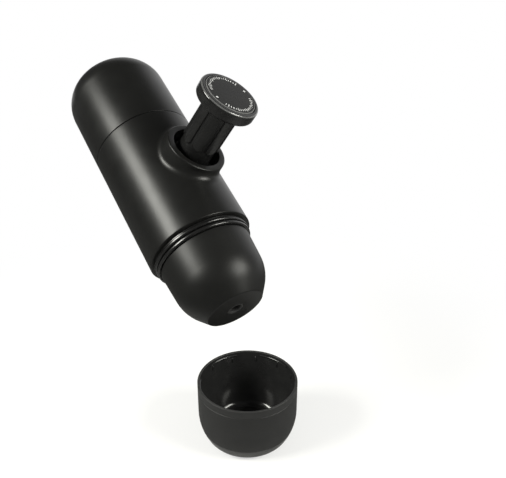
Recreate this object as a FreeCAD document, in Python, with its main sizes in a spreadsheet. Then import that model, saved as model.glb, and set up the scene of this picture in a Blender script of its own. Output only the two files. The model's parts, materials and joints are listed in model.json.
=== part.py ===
import FreeCAD, Part
import math
import os
import Sketcher

# Handheld manual espresso maker: a water tank, a pump body with a side piston, an outlet head
# with its filter basket, and a separate cup.
#
# The maker is drawn in its own frame: the origin is the middle of the flat outlet face, +Z runs
# up the barrel to the tank and +X is the way the piston knob sticks out.  Pump pieces are drawn
# along their own +Z, which is the piston's axis, measured from the barrel's axis.  The whole
# maker is then held tilted over the cup; the row's origin is the middle of the cup's foot.

SIZES = {
    # barrel
    "body_radius": 30.0,
    "body_wall": 2.4,
    "body_edge": 0.6,
    "body_floor": 3.0,
    "neck_step": 6.0,
    "neck_wall": 2.4,
    "neck_height": 14.8,
    "fit_gap": 0.3,
    "seat_gap": 0.05,
    # water tank
    "tank_height": 58.9,
    "tank_crown": 1.5,
    "tank_crown_flat": 7.0,
    "tank_crown_round": 120.0,
    "tank_corner_inset": 11.0,
    "tank_wall": 2.2,
    "skirt_height": 8.0,
    "skirt_wall": 2.0,
    "skirt_root_height": 2.0,
    "skirt_blend": 4.0,
    "thread_ridge": 0.6,
    "thread_pitch": 2.2,
    "thread_turns": 3,
    "thread_start": 1.6,
    "seam_groove": 0.3,
    # side collar
    "piston_rise": 42.2,
    "collar_projection": 4.9,
    "collar_radius": 17.4,
    "collar_bore": 13.8,
    "collar_blend": 4.5,
    "collar_lip_round": 0.8,
    "guide_bore": 10.9,
    "guide_height": 7.0,
    "guide_recess": 8.9,
    "guide_lead_in": 1.0,
    # pump housing and cylinder
    "housing_below": 17.0,
    "housing_above": 18.2,
    "housing_bore": 11.2,
    "flange_radius": 10.8,
    "flange_depth": 2.0,
    "cylinder_bore": 6.6,
    "cylinder_radius": 8.2,
    "cylinder_lead_in": 0.6,
    "port_radius": 1.5,
    "port_length": 3.5,
    "duct_inset": 7.8,
    "duct_radius": 2.0,
    # piston
    "plunger_radius": 6.3,
    "plunger_length": 7.0,
    "plunger_margin": 2.7,
    "seal_groove": 1.1,
    "seal_land": 1.7,
    "seal_radius": 6.52,
    "stem_radius": 3.2,
    "sleeve_bore": 8.6,
    "sleeve_radius": 9.8,
    "sleeve_overlap": 3.0,
    "lobe_radius": 10.6,
    "lobe_gap": 4.1,
    "lobe_count": 8,
    "lobe_share": 0.82,
    "lobe_end_round": 2.4,
    "spring_mean_radius": 9.4,
    "spring_wire": 1.0,
    "spring_turns": 5.0,
    # knob
    "knob_thickness": 7.3,
    "knob_radius": 16.8,
    "knob_back_round": 2.0,
    "knob_front_round": 1.7,
    "cap_radius": 14.3,
    "cap_thickness": 2.25,
    "cap_proud": 0.4,
    "cap_edge": 0.6,
    "knob_screw_radius": 1.25,
    "knob_screw_length": 9.5,
    "knob_screw_head": 2.9,
    "knob_screw_head_height": 2.0,
    # valve deck, inlet valve and deck screws
    "deck_thickness": 5.6,
    "tank_seal_width": 2.6,
    "tank_seal_height": 2.3,
    "screw_inset": 6.8,
    "screw_angle": 30.0,
    "screw_radius": 1.4,
    "screw_length": 14.0,
    "screw_head_radius": 2.8,
    "screw_head_height": 2.0,
    "screw_tip_gap": 1.0,
    "valve_stub_radius": 2.9,
    "valve_flange_radius": 4.2,
    "valve_flange_height": 1.5,
    "valve_radius": 3.6,
    "valve_height": 7.4,
    "valve_hole": 1.2,
    "cage_radius": 2.3,
    "cage_height": 3.8,
    "cage_roof": 2.1,
    "cage_cone": 1.0,
    "cage_slot_circle": 1.7,
    "cage_slot": 0.45,
    "cage_slot_count": 4,
    "ball_radius": 1.8,
    "strainer_wall": 0.5,
    "strainer_height": 3.6,
    "strainer_hole": 0.45,
    "strainer_pitch": 1.4,
    "strainer_overlap": 1.8,
    # outlet valve and posts
    "tube_radius": 3.4,
    "tube_bore": 2.4,
    "tube_end": 2.0,
    "poppet_radius": 2.0,
    "poppet_thickness": 1.6,
    "valve_spring_wire": 0.4,
    "valve_spring_turns": 7.0,
    "post_radius": 3.0,
    "post_inset": 6.3,
    # group plate, shower screen, gasket
    "plate_thickness": 4.0,
    "plate_drop": 3.8,
    "plate_recess": 1.2,
    "plate_recess_inner": 5.0,
    "plate_recess_margin": 3.1,
    "channel_radius": 1.1,
    "exit_offset": 9.0,
    "screen_inset": 1.0,
    "screen_thickness": 1.2,
    "screen_hole": 0.9,
    "screen_pitch": 3.9,
    "shower_screw_radius": 1.8,
    "shower_screw_length": 6.5,
    "shower_screw_head": 3.6,
    "shower_screw_head_height": 1.9,
    "shower_screw_head_round": 1.0,
    "gasket_thickness": 2.2,
    "gasket_width": 2.9,
    # filter basket
    "basket_inset": 2.4,
    "basket_wall": 0.7,
    "basket_low": 13.0,
    "basket_depth": 20.3,
    "basket_flange_inset": 0.7,
    "basket_flange": 1.0,
    "basket_round": 1.5,
    "basket_hole": 0.7,
    "basket_pitch": 3.08,
    # outlet head
    "head_wall": 2.1,
    "head_taper": 1.4,
    "head_waist_height": 11.4,
    "head_shoulder": 24.0,
    "head_face_inset": 9.0,
    "head_face_edge": 1.0,
    "head_socket_gap": 0.4,
    "head_step": 1.9,
    "head_ledge": 4.8,
    "head_funnel_high": 9.5,
    "head_floor": 3.0,
    "spout_radius": 4.6,
    "spout_bore": 3.2,
    "spout_edge": 0.5,
    # trim rings
    "ring_upper_width": 4.05,
    "ring_upper_height": 2.9,
    "ring_lower_width": 3.75,
    "ring_lower_height": 1.9,
    "ring_gap": 0.55,
    "ring_round": 0.8,
    # cup
    "cup_radius": 29.95,
    "cup_height": 40.2,
    "cup_wall": 1.5,
    "cup_floor": 2.2,
    "cup_foot_inset": 6.15,
    "cup_foot_round": 7.6,
    "cup_flare_height": 11.7,
    "cup_flare_round": 31.0,
    "cup_foot_ring_inset": 7.3,
    "cup_foot_ring_depth": 0.4,
    "cup_band_drop": 4.8,
    "cup_band_depth": 0.25,
    "cup_rim_edge": 0.5,
    "cup_rib_depth": 0.35,
    "cup_rib_width": 1.05,
    "cup_rib_height": 5.0,
    "cup_rib_count": 12,
    # how the maker is held over the cup
    "outlet_x": -5.73,
    "outlet_y": -24.71,
    "outlet_z": 104.28,
    "hold_heading": 123.41,
    "hold_tilt": 58.80,
    "hold_roll": -163.79,
}

doc = FreeCAD.newDocument("EspressoMaker")
sheet = doc.addObject("Spreadsheet::Sheet", "Sizes")
for row, (alias, number) in enumerate(SIZES.items(), start=1):
    sheet.set(f"A{row}", alias)
    sheet.set(f"B{row}", str(number))
    sheet.setAlias(f"B{row}", alias)
doc.recompute()


class Size:
    """A length that knows its number and the sheet expression that gives it."""

    def __init__(self, value, text):
        self.value = value
        self.text = text

    def __add__(self, other):
        other = as_size(other)
        return Size(self.value + other.value, f"({self.text} + {other.text})")

    def __sub__(self, other):
        other = as_size(other)
        return Size(self.value - other.value, f"({self.text} - {other.text})")

    def __mul__(self, other):
        other = as_size(other)
        return Size(self.value * other.value, f"({self.text} * {other.text})")

    def __truediv__(self, other):
        other = as_size(other)
        return Size(self.value / other.value, f"({self.text} / {other.text})")

    def __neg__(self):
        return Size(-self.value, f"(-1 * {self.text})")

    def __radd__(self, other):
        return as_size(other) + self

    def __rsub__(self, other):
        return as_size(other) - self

    __rmul__ = __mul__


def as_size(item):
    """A bare number as a Size of its own."""
    return item if isinstance(item, Size) else Size(float(item), f"{float(item):.6f}")


class SheetSizes:
    """Every sheet alias as a Size: size.body_radius and so on."""

    def __getattr__(self, alias):
        return Size(float(SIZES[alias]), f"Sizes.{alias}")


size = SheetSizes()

# ---------------------------------------------------------------- sizes that follow from others

# radii, from the barrel inwards
body_bore = size.body_radius - size.body_wall
inner_radius = body_bore - size.fit_gap
skirt_root = inner_radius - size.thread_ridge
tank_corner = size.body_radius - size.tank_corner_inset
duct_offset = inner_radius - size.duct_inset
screw_circle = inner_radius - size.screw_inset
post_circle = inner_radius - size.post_inset
neck_radius = size.body_radius - size.neck_step
neck_bore = neck_radius - size.neck_wall
screen_radius = neck_bore - size.screen_inset
plate_recess_outer = screen_radius - size.plate_recess_margin
basket_radius = neck_bore - size.basket_inset
basket_flange_radius = neck_bore - size.basket_flange_inset
head_socket = neck_radius + size.fit_gap
head_radius = head_socket + size.head_wall
head_waist_radius = head_radius - size.head_taper
head_face_radius = head_waist_radius - size.head_face_inset
head_bore = head_socket - size.head_step
head_ledge_radius = head_bore - size.head_ledge
ring_bore = neck_radius + size.seat_gap
ring_upper_radius = ring_bore + size.ring_upper_width
ring_lower_radius = ring_bore + size.ring_lower_width
cup_foot_radius = size.cup_radius - size.cup_foot_inset
cup_foot_ring = cup_foot_radius - size.cup_foot_ring_inset

# heights, from the basket up to the top of the tank
basket_rim = size.basket_low + size.basket_depth
gasket_low = basket_rim + size.fit_gap
screen_low = gasket_low + size.gasket_thickness
plate_low = screen_low + size.screen_thickness
body_low = plate_low + size.plate_drop
neck_low = body_low - size.neck_height
head_socket_low = neck_low - size.head_socket_gap
ring_upper_low = body_low - size.ring_upper_height
ring_lower_low = ring_upper_low - size.ring_gap - size.ring_lower_height
head_seam = ring_lower_low - size.seam_groove / 2
head_top = head_seam - size.seam_groove / 2
body_floor_top = body_low + size.body_floor
plate_top = body_floor_top + size.plate_thickness
piston_height = body_low + size.piston_rise
housing_low = piston_height - size.housing_below
housing_high = piston_height + size.housing_above
deck_top = housing_high + size.deck_thickness
valve_seat_top = deck_top + size.valve_height
cage_low = valve_seat_top - size.cage_roof - size.cage_height
tank_seal_top = deck_top + size.tank_seal_height
skirt_low = tank_seal_top + size.fit_gap
tank_seam = skirt_low + size.skirt_height
tank_top = tank_seam + size.tank_height

# lengths along the piston, whose stroke is what the barrel leaves
collar_reach = size.body_radius + size.collar_projection
guide_high = collar_reach - size.guide_recess
guide_low = guide_high - size.guide_height
pump_floor = size.port_length - duct_offset
flange_top = pump_floor + size.flange_depth
plunger_high = guide_high - size.plunger_margin
plunger_low = plunger_high - size.plunger_length
piston_stroke = plunger_low - size.fit_gap - flange_top
spring_low = flange_top + size.fit_gap
sleeve_low = guide_high - size.sleeve_overlap
spring_high = sleeve_low - size.fit_gap
lobe_low = collar_reach + size.lobe_gap
knob_back = collar_reach + size.fit_gap + piston_stroke
stem_top = knob_back - size.fit_gap
knob_front = knob_back + size.knob_thickness
cap_top = knob_front + size.cap_proud
cap_bottom = cap_top - size.cap_thickness
screw_seat = cap_bottom - size.fit_gap - size.knob_screw_head_height


# a cut starts or ends this far outside the solid that it cuts
OVERRUN = 1.0

# an edge counts as lying on a plane or having a width when it is this close
EDGE_SLACK = 0.01

# ---------------------------------------------------------------- drawing and solid helpers

def bind(thing, prop, length):
    """Give a property its sheet expression."""
    thing.setExpression(prop, as_size(length).text)


def origin_plane(body, role):
    return next(item for item in body.Origin.OriginFeatures if item.Role == role)


class Drawing:
    """A sketch on one of a body's own planes, with every point tied to the sheet."""

    def __init__(self, body, plane, offset=0.0):
        self.sketch = body.newObject("Sketcher::SketchObject", "Sketch")
        self.sketch.AttachmentSupport = (origin_plane(body, plane), "")
        self.sketch.MapMode = "FlatFace"
        bind(self.sketch, "AttachmentOffset.Base.z", offset)
        self.rules = []
        self.ties = []

    def add(self, curve, construction=False):
        return self.sketch.addGeometry(curve, construction)

    def rule(self, *words):
        self.rules.append(Sketcher.Constraint(*words))

    def measure(self, length, *words):
        self.ties.append((len(self.rules), as_size(length).text))
        self.rule(*words, as_size(length).value)

    def locate(self, curve, end, across, up):
        """Hold one point of a curve at a place measured from the sketch's origin."""
        if as_size(across).value == 0.0:
            self.rule("PointOnObject", curve, end, -2)
        else:
            self.measure(across, "DistanceX", -1, 1, curve, end)
        if as_size(up).value == 0.0:
            self.rule("PointOnObject", curve, end, -1)
        else:
            self.measure(up, "DistanceY", -1, 1, curve, end)

    def circle(self, across, up, radius):
        middle = FreeCAD.Vector(as_size(across).value, as_size(up).value, 0)
        curve = self.add(Part.Circle(middle, FreeCAD.Vector(0, 0, 1), as_size(radius).value))
        self.locate(curve, 3, across, up)
        self.measure(radius, "Radius", curve)

    def outline(self, corners):
        """A closed outline through corners (across, up) or (across, up, rounding radius)."""
        spots = [FreeCAD.Vector(as_size(c[0]).value, as_size(c[1]).value, 0) for c in corners]
        count = len(corners)
        arrive = list(spots)
        leave = list(spots)
        arcs = {}
        for i, corner in enumerate(corners):
            if len(corner) < 3:
                continue
            into = (spots[i] - spots[i - 1]).normalize()
            away = (spots[(i + 1) % count] - spots[i]).normalize()
            radius = as_size(corner[2]).value
            reach = radius * math.tan(into.getAngle(away) / 2)
            arrive[i] = spots[i] - into * reach
            leave[i] = spots[i] + away * reach
            left_turn = into.cross(away).z > 0
            side = FreeCAD.Vector(-into.y, into.x, 0) * (radius if left_turn else -radius)
            arcs[i] = (arrive[i] + side, radius, left_turn)
        lines = [self.add(Part.LineSegment(leave[i], arrive[(i + 1) % count])) for i in range(count)]
        for i, corner in enumerate(corners):
            before = lines[i - 1]
            after = lines[i]
            if i not in arcs:
                self.rule("Coincident", before, 2, after, 1)
                self.locate(after, 1, corner[0], corner[1])
                continue
            middle, radius, left_turn = arcs[i]
            ends = [arrive[i], leave[i]] if left_turn else [leave[i], arrive[i]]
            angles = [math.atan2(p.y - middle.y, p.x - middle.x) for p in ends]
            ring = Part.Circle(middle, FreeCAD.Vector(0, 0, 1), radius)
            arc = self.add(Part.ArcOfCircle(ring, *angles))
            self.rule("Tangent", before, 2, arc, 1 if left_turn else 2)
            self.rule("Tangent", arc, 2 if left_turn else 1, after, 1)
            self.measure(corner[2], "Radius", arc)
            mark = self.add(Part.Point(spots[i]), True)
            self.rule("PointOnObject", mark, 1, before)
            self.rule("PointOnObject", mark, 1, after)
            self.locate(mark, 1, corner[0], corner[1])

    def close(self):
        """Hand the rules to the sketch and tie its measures to the sheet."""
        self.sketch.addConstraint(self.rules)
        for index, text in self.ties:
            self.sketch.setExpression(f"Constraints[{index}]", text)
        return self.sketch


def new_body(label, placement):
    body = doc.addObject("PartDesign::Body", "Body")
    body.Label = label
    body.Placement = placement
    return body


def revolve(body, corners, kind):
    """Turn an outline round the body's Z axis, as a Revolution or a Groove."""
    drawing = Drawing(body, "XZ_Plane")
    drawing.outline(corners)
    sketch = drawing.close()
    feature = body.newObject(f"PartDesign::{kind}", kind)
    feature.Profile = sketch
    feature.ReferenceAxis = (sketch, ["V_Axis"])
    feature.Angle = 360
    doc.recompute()


def hollow_out(body, corners):
    """Cut a turned outline out of a body."""
    full = body.Shape.Volume
    revolve(body, corners, "Groove")
    check_cut(body, full)


def check_cut(body, full):
    """Make sure that a cut really took something away."""
    if body.Shape.Volume > full - 1e-6:
        raise RuntimeError(f"{body.Label}: a cut takes nothing away")


def pad(body, drawing, length):
    feature = body.newObject("PartDesign::Pad", "Pad")
    feature.Profile = drawing.close()
    bind(feature, "Length", length)
    doc.recompute()
    return feature


def pocket(body, drawing, depth):
    """Cut from the sketch's plane against its normal."""
    full = body.Shape.Volume
    feature = body.newObject("PartDesign::Pocket", "Pocket")
    feature.Profile = drawing.close()
    bind(feature, "Length", depth)
    doc.recompute()
    check_cut(body, full)
    return feature


def drill(body, spots, radius, top, depth):
    """Round holes down the body's Z axis from a height, at (x, y) spots."""
    drawing = Drawing(body, "XY_Plane", top)
    for across, up in spots:
        drawing.circle(across, up, radius)
    return pocket(body, drawing, depth)


def ring_spots(circle_radius, count, first=0.0):
    """Evenly spaced (x, y) places on a circle."""
    angles = [math.radians(first + 360.0 * i / count) for i in range(count)]
    return [(circle_radius * math.cos(a), circle_radius * math.sin(a)) for a in angles]


def perforations(pitch, first, last):
    """Places of round holes on circles one pitch apart, six more holes on each circle."""
    spots = []
    for circle_number in range(first, last + 1):
        spots += ring_spots(pitch * circle_number, 6 * circle_number)
    return spots


def circles_inside(radius, hole, pitch):
    """How many circles of holes fit inside a radius with a hole's width to spare."""
    return int((radius - 2 * hole).value / pitch.value)


def pattern(body, features, count):
    """Repeat features round the body's Z axis."""
    feature = body.newObject("PartDesign::PolarPattern", "PolarPattern")
    feature.Originals = features
    feature.Axis = (features[0].Profile[0], ["N_Axis"])
    feature.Angle = 360
    bind(feature, "Occurrences", count)
    body.Tip = feature
    doc.recompute()
    return feature


def round_edges(body, wanted, radius):
    """Fillet the edges of the body's tip that a test picks."""
    tip = body.Tip
    names = [f"Edge{i}" for i, edge in enumerate(tip.Shape.Edges, start=1) if wanted(edge)]
    if not names:
        raise RuntimeError(f"{body.Label}: no edge to round")
    feature = body.newObject("PartDesign::Fillet", "Fillet")
    feature.Base = (tip, names)
    bind(feature, "Radius", radius)
    doc.recompute()
    return feature


def turned(label, placement, corners):
    """A body made by one turned outline."""
    body = new_body(label, placement)
    revolve(body, corners, "Revolution")
    return body


def coil(label, placement, mean_radius, wire, low, high, turns):
    """A compression spring between two heights, measured to the outside of its wire."""
    body = new_body(label, placement)
    drawing = Drawing(body, "XZ_Plane")
    drawing.circle(mean_radius, low + wire / 2, wire / 2)
    sketch = drawing.close()
    helix = body.newObject("PartDesign::AdditiveHelix", "Helix")
    helix.Profile = sketch
    helix.ReferenceAxis = (sketch, ["V_Axis"])
    helix.Mode = "height-turns-angle"
    bind(helix, "Height", high - low - wire)
    bind(helix, "Turns", turns)
    doc.recompute()
    return body


def shifted(placement, x=0.0, y=0.0):
    """A placement moved sideways in its own frame."""
    step = FreeCAD.Vector(as_size(x).value, as_size(y).value, 0)
    return placement.multiply(FreeCAD.Placement(step, FreeCAD.Rotation()))


def cylinder(radius, low, height, x, y):
    part = doc.addObject("Part::Cylinder", "Cylinder")
    bind(part, "Radius", radius)
    bind(part, "Height", height)
    bind(part, "Placement.Base.x", x)
    bind(part, "Placement.Base.y", y)
    bind(part, "Placement.Base.z", low)
    return part


def group(label, placement, pieces):
    """Several loose solids of one kind under one name."""
    compound = doc.addObject("Part::Compound", "Group")
    compound.Label = label
    compound.Links = pieces
    compound.Placement = placement
    doc.recompute()
    return compound


def fused(first, second):
    joined = doc.addObject("Part::Fuse", "Fuse")
    joined.Base = first
    joined.Tool = second
    return joined


# ---------------------------------------------------------------- where the maker is held

Z_AXIS = FreeCAD.Vector(0, 0, 1)
Y_AXIS = FreeCAD.Vector(0, 1, 0)


def maker_placement():
    heading = FreeCAD.Rotation(Z_AXIS, SIZES["hold_heading"])
    tilt = FreeCAD.Rotation(Y_AXIS, SIZES["hold_tilt"])
    roll = FreeCAD.Rotation(Z_AXIS, SIZES["hold_roll"])
    outlet = FreeCAD.Vector(SIZES["outlet_x"], SIZES["outlet_y"], SIZES["outlet_z"])
    return FreeCAD.Placement(outlet, heading.multiply(tilt).multiply(roll))


MAKER = maker_placement()
PISTON = MAKER.multiply(FreeCAD.Placement(FreeCAD.Vector(0, 0, piston_height.value),
                                          FreeCAD.Rotation(Y_AXIS, 90)))
DUCT = shifted(MAKER, -duct_offset)
TABLE = FreeCAD.Placement()


# ---------------------------------------------------------------- water tank

def tank_shell():
    """Domed tank with a threaded skirt that screws into the top of the body."""
    seam = tank_seam + size.seam_groove / 2
    shoulder = tank_top - size.tank_crown
    inner = size.body_radius - size.tank_wall
    skirt_bore = skirt_root - size.skirt_wall
    corners = [
        (0, tank_top),
        (size.tank_crown_flat, tank_top, size.tank_crown_round),
        (size.body_radius, shoulder, tank_corner),
        (size.body_radius, seam, size.body_edge / 2),
        (skirt_root, seam),
    ]
    for turn_number in range(int(SIZES["thread_turns"])):
        turns_up = SIZES["thread_turns"] - 1 - turn_number
        crest = skirt_low + size.thread_start + size.thread_pitch * turns_up
        corners.append((skirt_root, crest + size.thread_ridge))
        corners.append((skirt_root + size.thread_ridge, crest))
        corners.append((skirt_root, crest - size.thread_ridge))
    corners += [
        (skirt_root, skirt_low),
        (skirt_bore, skirt_low),
        (skirt_bore, seam + size.skirt_root_height),
        (inner, seam + size.skirt_root_height + size.skirt_blend),
        (inner, shoulder - size.tank_wall, tank_corner - size.tank_wall),
        (size.tank_crown_flat, tank_top - size.tank_wall, size.tank_crown_round),
        (0, tank_top - size.tank_wall),
    ]
    return turned("tank_shell", MAKER, corners)


def tank_seal():
    """Flat ring on the valve deck, which the tank's skirt presses on."""
    low = deck_top
    high = tank_seal_top
    return turned("tank_seal", MAKER, [
        (inner_radius - size.tank_seal_width, low),
        (inner_radius, low),
        (inner_radius, high),
        (inner_radius - size.tank_seal_width, high),
    ])


# ---------------------------------------------------------------- barrel

def main_body():
    """Barrel with the side collar for the piston and a threaded neck below."""
    top = tank_seam - size.seam_groove / 2
    body = turned("main_body", MAKER, [
        (0, neck_low),
        (neck_radius, neck_low),
        (neck_radius, body_low),
        (size.body_radius, body_low, size.body_edge),
        (size.body_radius, top, size.body_edge / 2),
        (0, top),
    ])
    boss = Drawing(body, "YZ_Plane")
    boss.circle(0, piston_height, size.collar_radius)
    pad(body, boss, collar_reach)

    def meets_barrel(edge):
        box = edge.BoundBox
        collar_wide = abs(box.ZLength - 2 * size.collar_radius.value) < EDGE_SLACK
        on_barrel = 0 < box.XMin and box.XMax < size.body_radius.value + EDGE_SLACK
        return collar_wide and on_barrel

    round_edges(body, meets_barrel, size.collar_blend)
    round_edges(body, lambda edge: edge.BoundBox.XMin > collar_reach.value - EDGE_SLACK,
                size.collar_lip_round)
    hollow_out(body, [
        (0, neck_low - OVERRUN),
        (neck_bore, neck_low - OVERRUN),
        (neck_bore, body_floor_top),
        (body_bore, body_floor_top),
        (body_bore, top + OVERRUN),
        (0, top + OVERRUN),
    ])
    bore = Drawing(body, "YZ_Plane", collar_reach + OVERRUN)
    bore.circle(0, piston_height, size.collar_bore)
    pocket(body, bore, collar_reach + OVERRUN)
    return body


def trim_ring(label, low, height, radius):
    return turned(label, MAKER, [
        (ring_bore, low),
        (radius, low, size.ring_round),
        (radius, low + height, size.ring_round),
        (ring_bore, low + height),
    ])


def collar_guide():
    """Bush in the collar that the piston's sleeve slides through."""
    outer = size.collar_bore - size.seat_gap
    return turned("collar_guide", PISTON, [
        (size.guide_bore, guide_low),
        (outer, guide_low),
        (outer, guide_high),
        (size.guide_bore + size.guide_lead_in, guide_high),
        (size.guide_bore, guide_high - size.guide_lead_in),
    ])


# ---------------------------------------------------------------- pump

def pump_housing():
    """Block that fills the barrel and carries the pump cylinder across it."""
    body = turned("pump_housing", MAKER, [
        (0, housing_low),
        (inner_radius, housing_low),
        (inner_radius, housing_high),
        (0, housing_high),
    ])
    start = size.body_radius + OVERRUN
    steps = [
        (size.collar_bore, guide_low),
        (size.housing_bore, pump_floor),
        (size.port_radius, -duct_offset),
    ]
    for radius, floor in steps:
        step = Drawing(body, "YZ_Plane", start)
        step.circle(0, piston_height, radius)
        pocket(body, step, start - floor)
    drill(body, [(-duct_offset, 0)], size.duct_radius, housing_high,
          housing_high - housing_low)
    drill(body, screw_spots(), size.screw_radius + size.seat_gap, housing_high,
          size.screw_length - size.deck_thickness + size.screw_tip_gap)
    return body


def screw_spots():
    """Four places clear of the piston bore for the deck's screws."""
    far = screw_circle * math.cos(math.radians(SIZES["screw_angle"]))
    near = screw_circle * math.sin(math.radians(SIZES["screw_angle"]))
    return [(near, far), (-near, far), (-near, -far), (near, -far)]


def pump_cylinder():
    return turned("pump_cylinder", PISTON, [
        (size.port_radius, pump_floor),
        (size.flange_radius, pump_floor),
        (size.flange_radius, flange_top),
        (size.cylinder_radius, flange_top),
        (size.cylinder_radius, guide_high),
        (size.cylinder_bore + size.cylinder_lead_in, guide_high),
        (size.cylinder_bore, guide_high - size.cylinder_lead_in),
        (size.cylinder_bore, flange_top),
        (size.port_radius, flange_top),
    ])


def plunger_rod():
    """Plunger head with its seal groove, and the stem up to the knob."""
    groove_low = plunger_low + size.seal_land
    groove_high = plunger_high - size.seal_land
    hole = size.knob_screw_radius + size.seat_gap
    hole_low = screw_seat - size.knob_screw_length - size.screw_tip_gap
    return turned("plunger_rod", PISTON, [
        (0, plunger_low),
        (size.plunger_radius, plunger_low),
        (size.plunger_radius, groove_low),
        (size.plunger_radius - size.seal_groove, groove_low),
        (size.plunger_radius - size.seal_groove, groove_high),
        (size.plunger_radius, groove_high),
        (size.plunger_radius, plunger_high),
        (size.stem_radius, plunger_high),
        (size.stem_radius, stem_top),
        (hole, stem_top),
        (hole, hole_low),
        (0, hole_low),
    ])


def plunger_seal():
    root = size.plunger_radius - size.seal_groove + size.seat_gap
    low = plunger_low + size.seal_land + size.seat_gap
    high = plunger_high - size.seal_land - size.seat_gap
    return turned("plunger_seal", PISTON, [
        (root, low),
        (size.seal_radius, low),
        (size.seal_radius, high),
        (root, high),
    ])


def piston_sleeve():
    """Tube over the cylinder, with broad raised lobes along its upper part."""
    top = knob_back - size.seat_gap
    body = turned("piston_sleeve", PISTON, [
        (size.sleeve_bore, sleeve_low),
        (size.sleeve_radius, sleeve_low),
        (size.sleeve_radius, top),
        (size.sleeve_bore, top),
    ])
    drawing = Drawing(body, "XY_Plane", lobe_low)
    lobe_outline(drawing, math.pi / SIZES["lobe_count"] * SIZES["lobe_share"])
    lobe = pad(body, drawing, top - lobe_low)
    pattern(body, [lobe], size.lobe_count)

    def lobe_corner(edge):
        box = edge.BoundBox
        level = box.ZLength < EDGE_SLACK and abs(box.ZMin - lobe_low.value) < EDGE_SLACK
        return level and edge.Length < 2 * (size.lobe_radius - size.sleeve_radius).value

    round_edges(body, lobe_corner, size.lobe_end_round)
    return body


def lobe_outline(drawing, half):
    """One lobe's section: two radial sides, an inner line and the outer arc."""
    root = (size.sleeve_bore + size.sleeve_radius) / 2
    cosine = math.cos(half)
    sine = math.sin(half)
    spots = [(root * cosine, -root * sine), (size.lobe_radius * cosine, -size.lobe_radius * sine),
             (size.lobe_radius * cosine, size.lobe_radius * sine), (root * cosine, root * sine)]
    points = [FreeCAD.Vector(x.value, y.value, 0) for x, y in spots]
    ring = Part.Circle(FreeCAD.Vector(0, 0, 0), Z_AXIS, size.lobe_radius.value)
    side_a = drawing.add(Part.LineSegment(points[0], points[1]))
    arc = drawing.add(Part.ArcOfCircle(ring, -half, half))
    side_b = drawing.add(Part.LineSegment(points[2], points[3]))
    base = drawing.add(Part.LineSegment(points[3], points[0]))
    drawing.rule("Coincident", side_a, 2, arc, 1)
    drawing.rule("Coincident", arc, 2, side_b, 1)
    drawing.rule("Coincident", side_b, 2, base, 1)
    drawing.rule("Coincident", base, 2, side_a, 1)
    drawing.rule("Coincident", arc, 3, -1, 1)
    drawing.locate(side_a, 1, *spots[0])
    drawing.locate(side_a, 2, *spots[1])
    drawing.locate(side_b, 2, *spots[3])
    drawing.measure(spots[2][1], "DistanceY", -1, 1, side_b, 1)


def piston_knob():
    """Round knob with a shallow pocket for its cap and a well for its screw."""
    pocket_radius = size.cap_radius + size.fit_gap
    well = size.knob_screw_head + size.fit_gap
    hole = size.knob_screw_radius + size.seat_gap
    return turned("piston_knob", PISTON, [
        (hole, knob_back),
        (size.knob_radius, knob_back, size.knob_back_round),
        (size.knob_radius, knob_front, size.knob_front_round),
        (pocket_radius, knob_front),
        (pocket_radius, cap_bottom),
        (well, cap_bottom),
        (well, screw_seat),
        (hole, screw_seat),
    ])


def knob_cap():
    return turned("knob_cap", PISTON, [
        (0, cap_bottom),
        (size.cap_radius, cap_bottom),
        (size.cap_radius, cap_top, size.cap_edge),
        (0, cap_top),
    ])


def knob_screw():
    return turned("knob_screw", PISTON, [
        (0, screw_seat - size.knob_screw_length),
        (size.knob_screw_radius, screw_seat - size.knob_screw_length),
        (size.knob_screw_radius, screw_seat),
        (size.knob_screw_head, screw_seat),
        (size.knob_screw_head, screw_seat + size.knob_screw_head_height),
        (0, screw_seat + size.knob_screw_head_height),
    ])


# ---------------------------------------------------------------- valves and deck

def valve_deck():
    body = turned("valve_deck", MAKER, [
        (0, housing_high),
        (inner_radius, housing_high),
        (inner_radius, deck_top),
        (0, deck_top),
    ])
    drill(body, [(-duct_offset, 0)], size.valve_stub_radius + size.seat_gap, deck_top,
          size.deck_thickness)
    drill(body, screw_spots(), size.screw_radius + size.seat_gap, deck_top, size.deck_thickness)
    return body


def deck_screws():
    pieces = []
    for x, y in screw_spots():
        shank = cylinder(size.screw_radius, deck_top - size.screw_length, size.screw_length, x, y)
        head = cylinder(size.screw_head_radius, deck_top, size.screw_head_height, x, y)
        pieces.append(fused(shank, head))
    return group("deck_screws", MAKER, pieces)


def inlet_valve_body():
    """Turned ball cage, plugged into the deck.  The pump's pressure lifts the ball against the
    cone above it, and the slots beside the lower hole let water past when the ball lies low."""
    body = turned("inlet_valve_body", DUCT, [
        (size.valve_hole, housing_high),
        (size.valve_stub_radius, housing_high),
        (size.valve_stub_radius, deck_top),
        (size.valve_flange_radius, deck_top),
        (size.valve_flange_radius, deck_top + size.valve_flange_height),
        (size.valve_radius, deck_top + size.valve_flange_height),
        (size.valve_radius, valve_seat_top),
        (size.valve_hole, valve_seat_top),
        (size.valve_hole, cage_low + size.cage_height + size.cage_cone),
        (size.cage_radius, cage_low + size.cage_height),
        (size.cage_radius, cage_low),
        (size.valve_hole, cage_low),
    ])
    drill(body, ring_spots(size.cage_slot_circle, SIZES["cage_slot_count"]), size.cage_slot,
          cage_low + size.fit_gap, cage_low + size.fit_gap - housing_high)
    return body


def inlet_ball():
    ball = doc.addObject("Part::Sphere", "Ball")
    ball.Label = "inlet_ball"
    bind(ball, "Radius", size.ball_radius)
    height = (cage_low + size.ball_radius + size.fit_gap).value
    lift = FreeCAD.Placement(FreeCAD.Vector(0, 0, height), FreeCAD.Rotation())
    ball.Placement = DUCT.multiply(lift)
    doc.recompute()
    return ball


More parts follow.
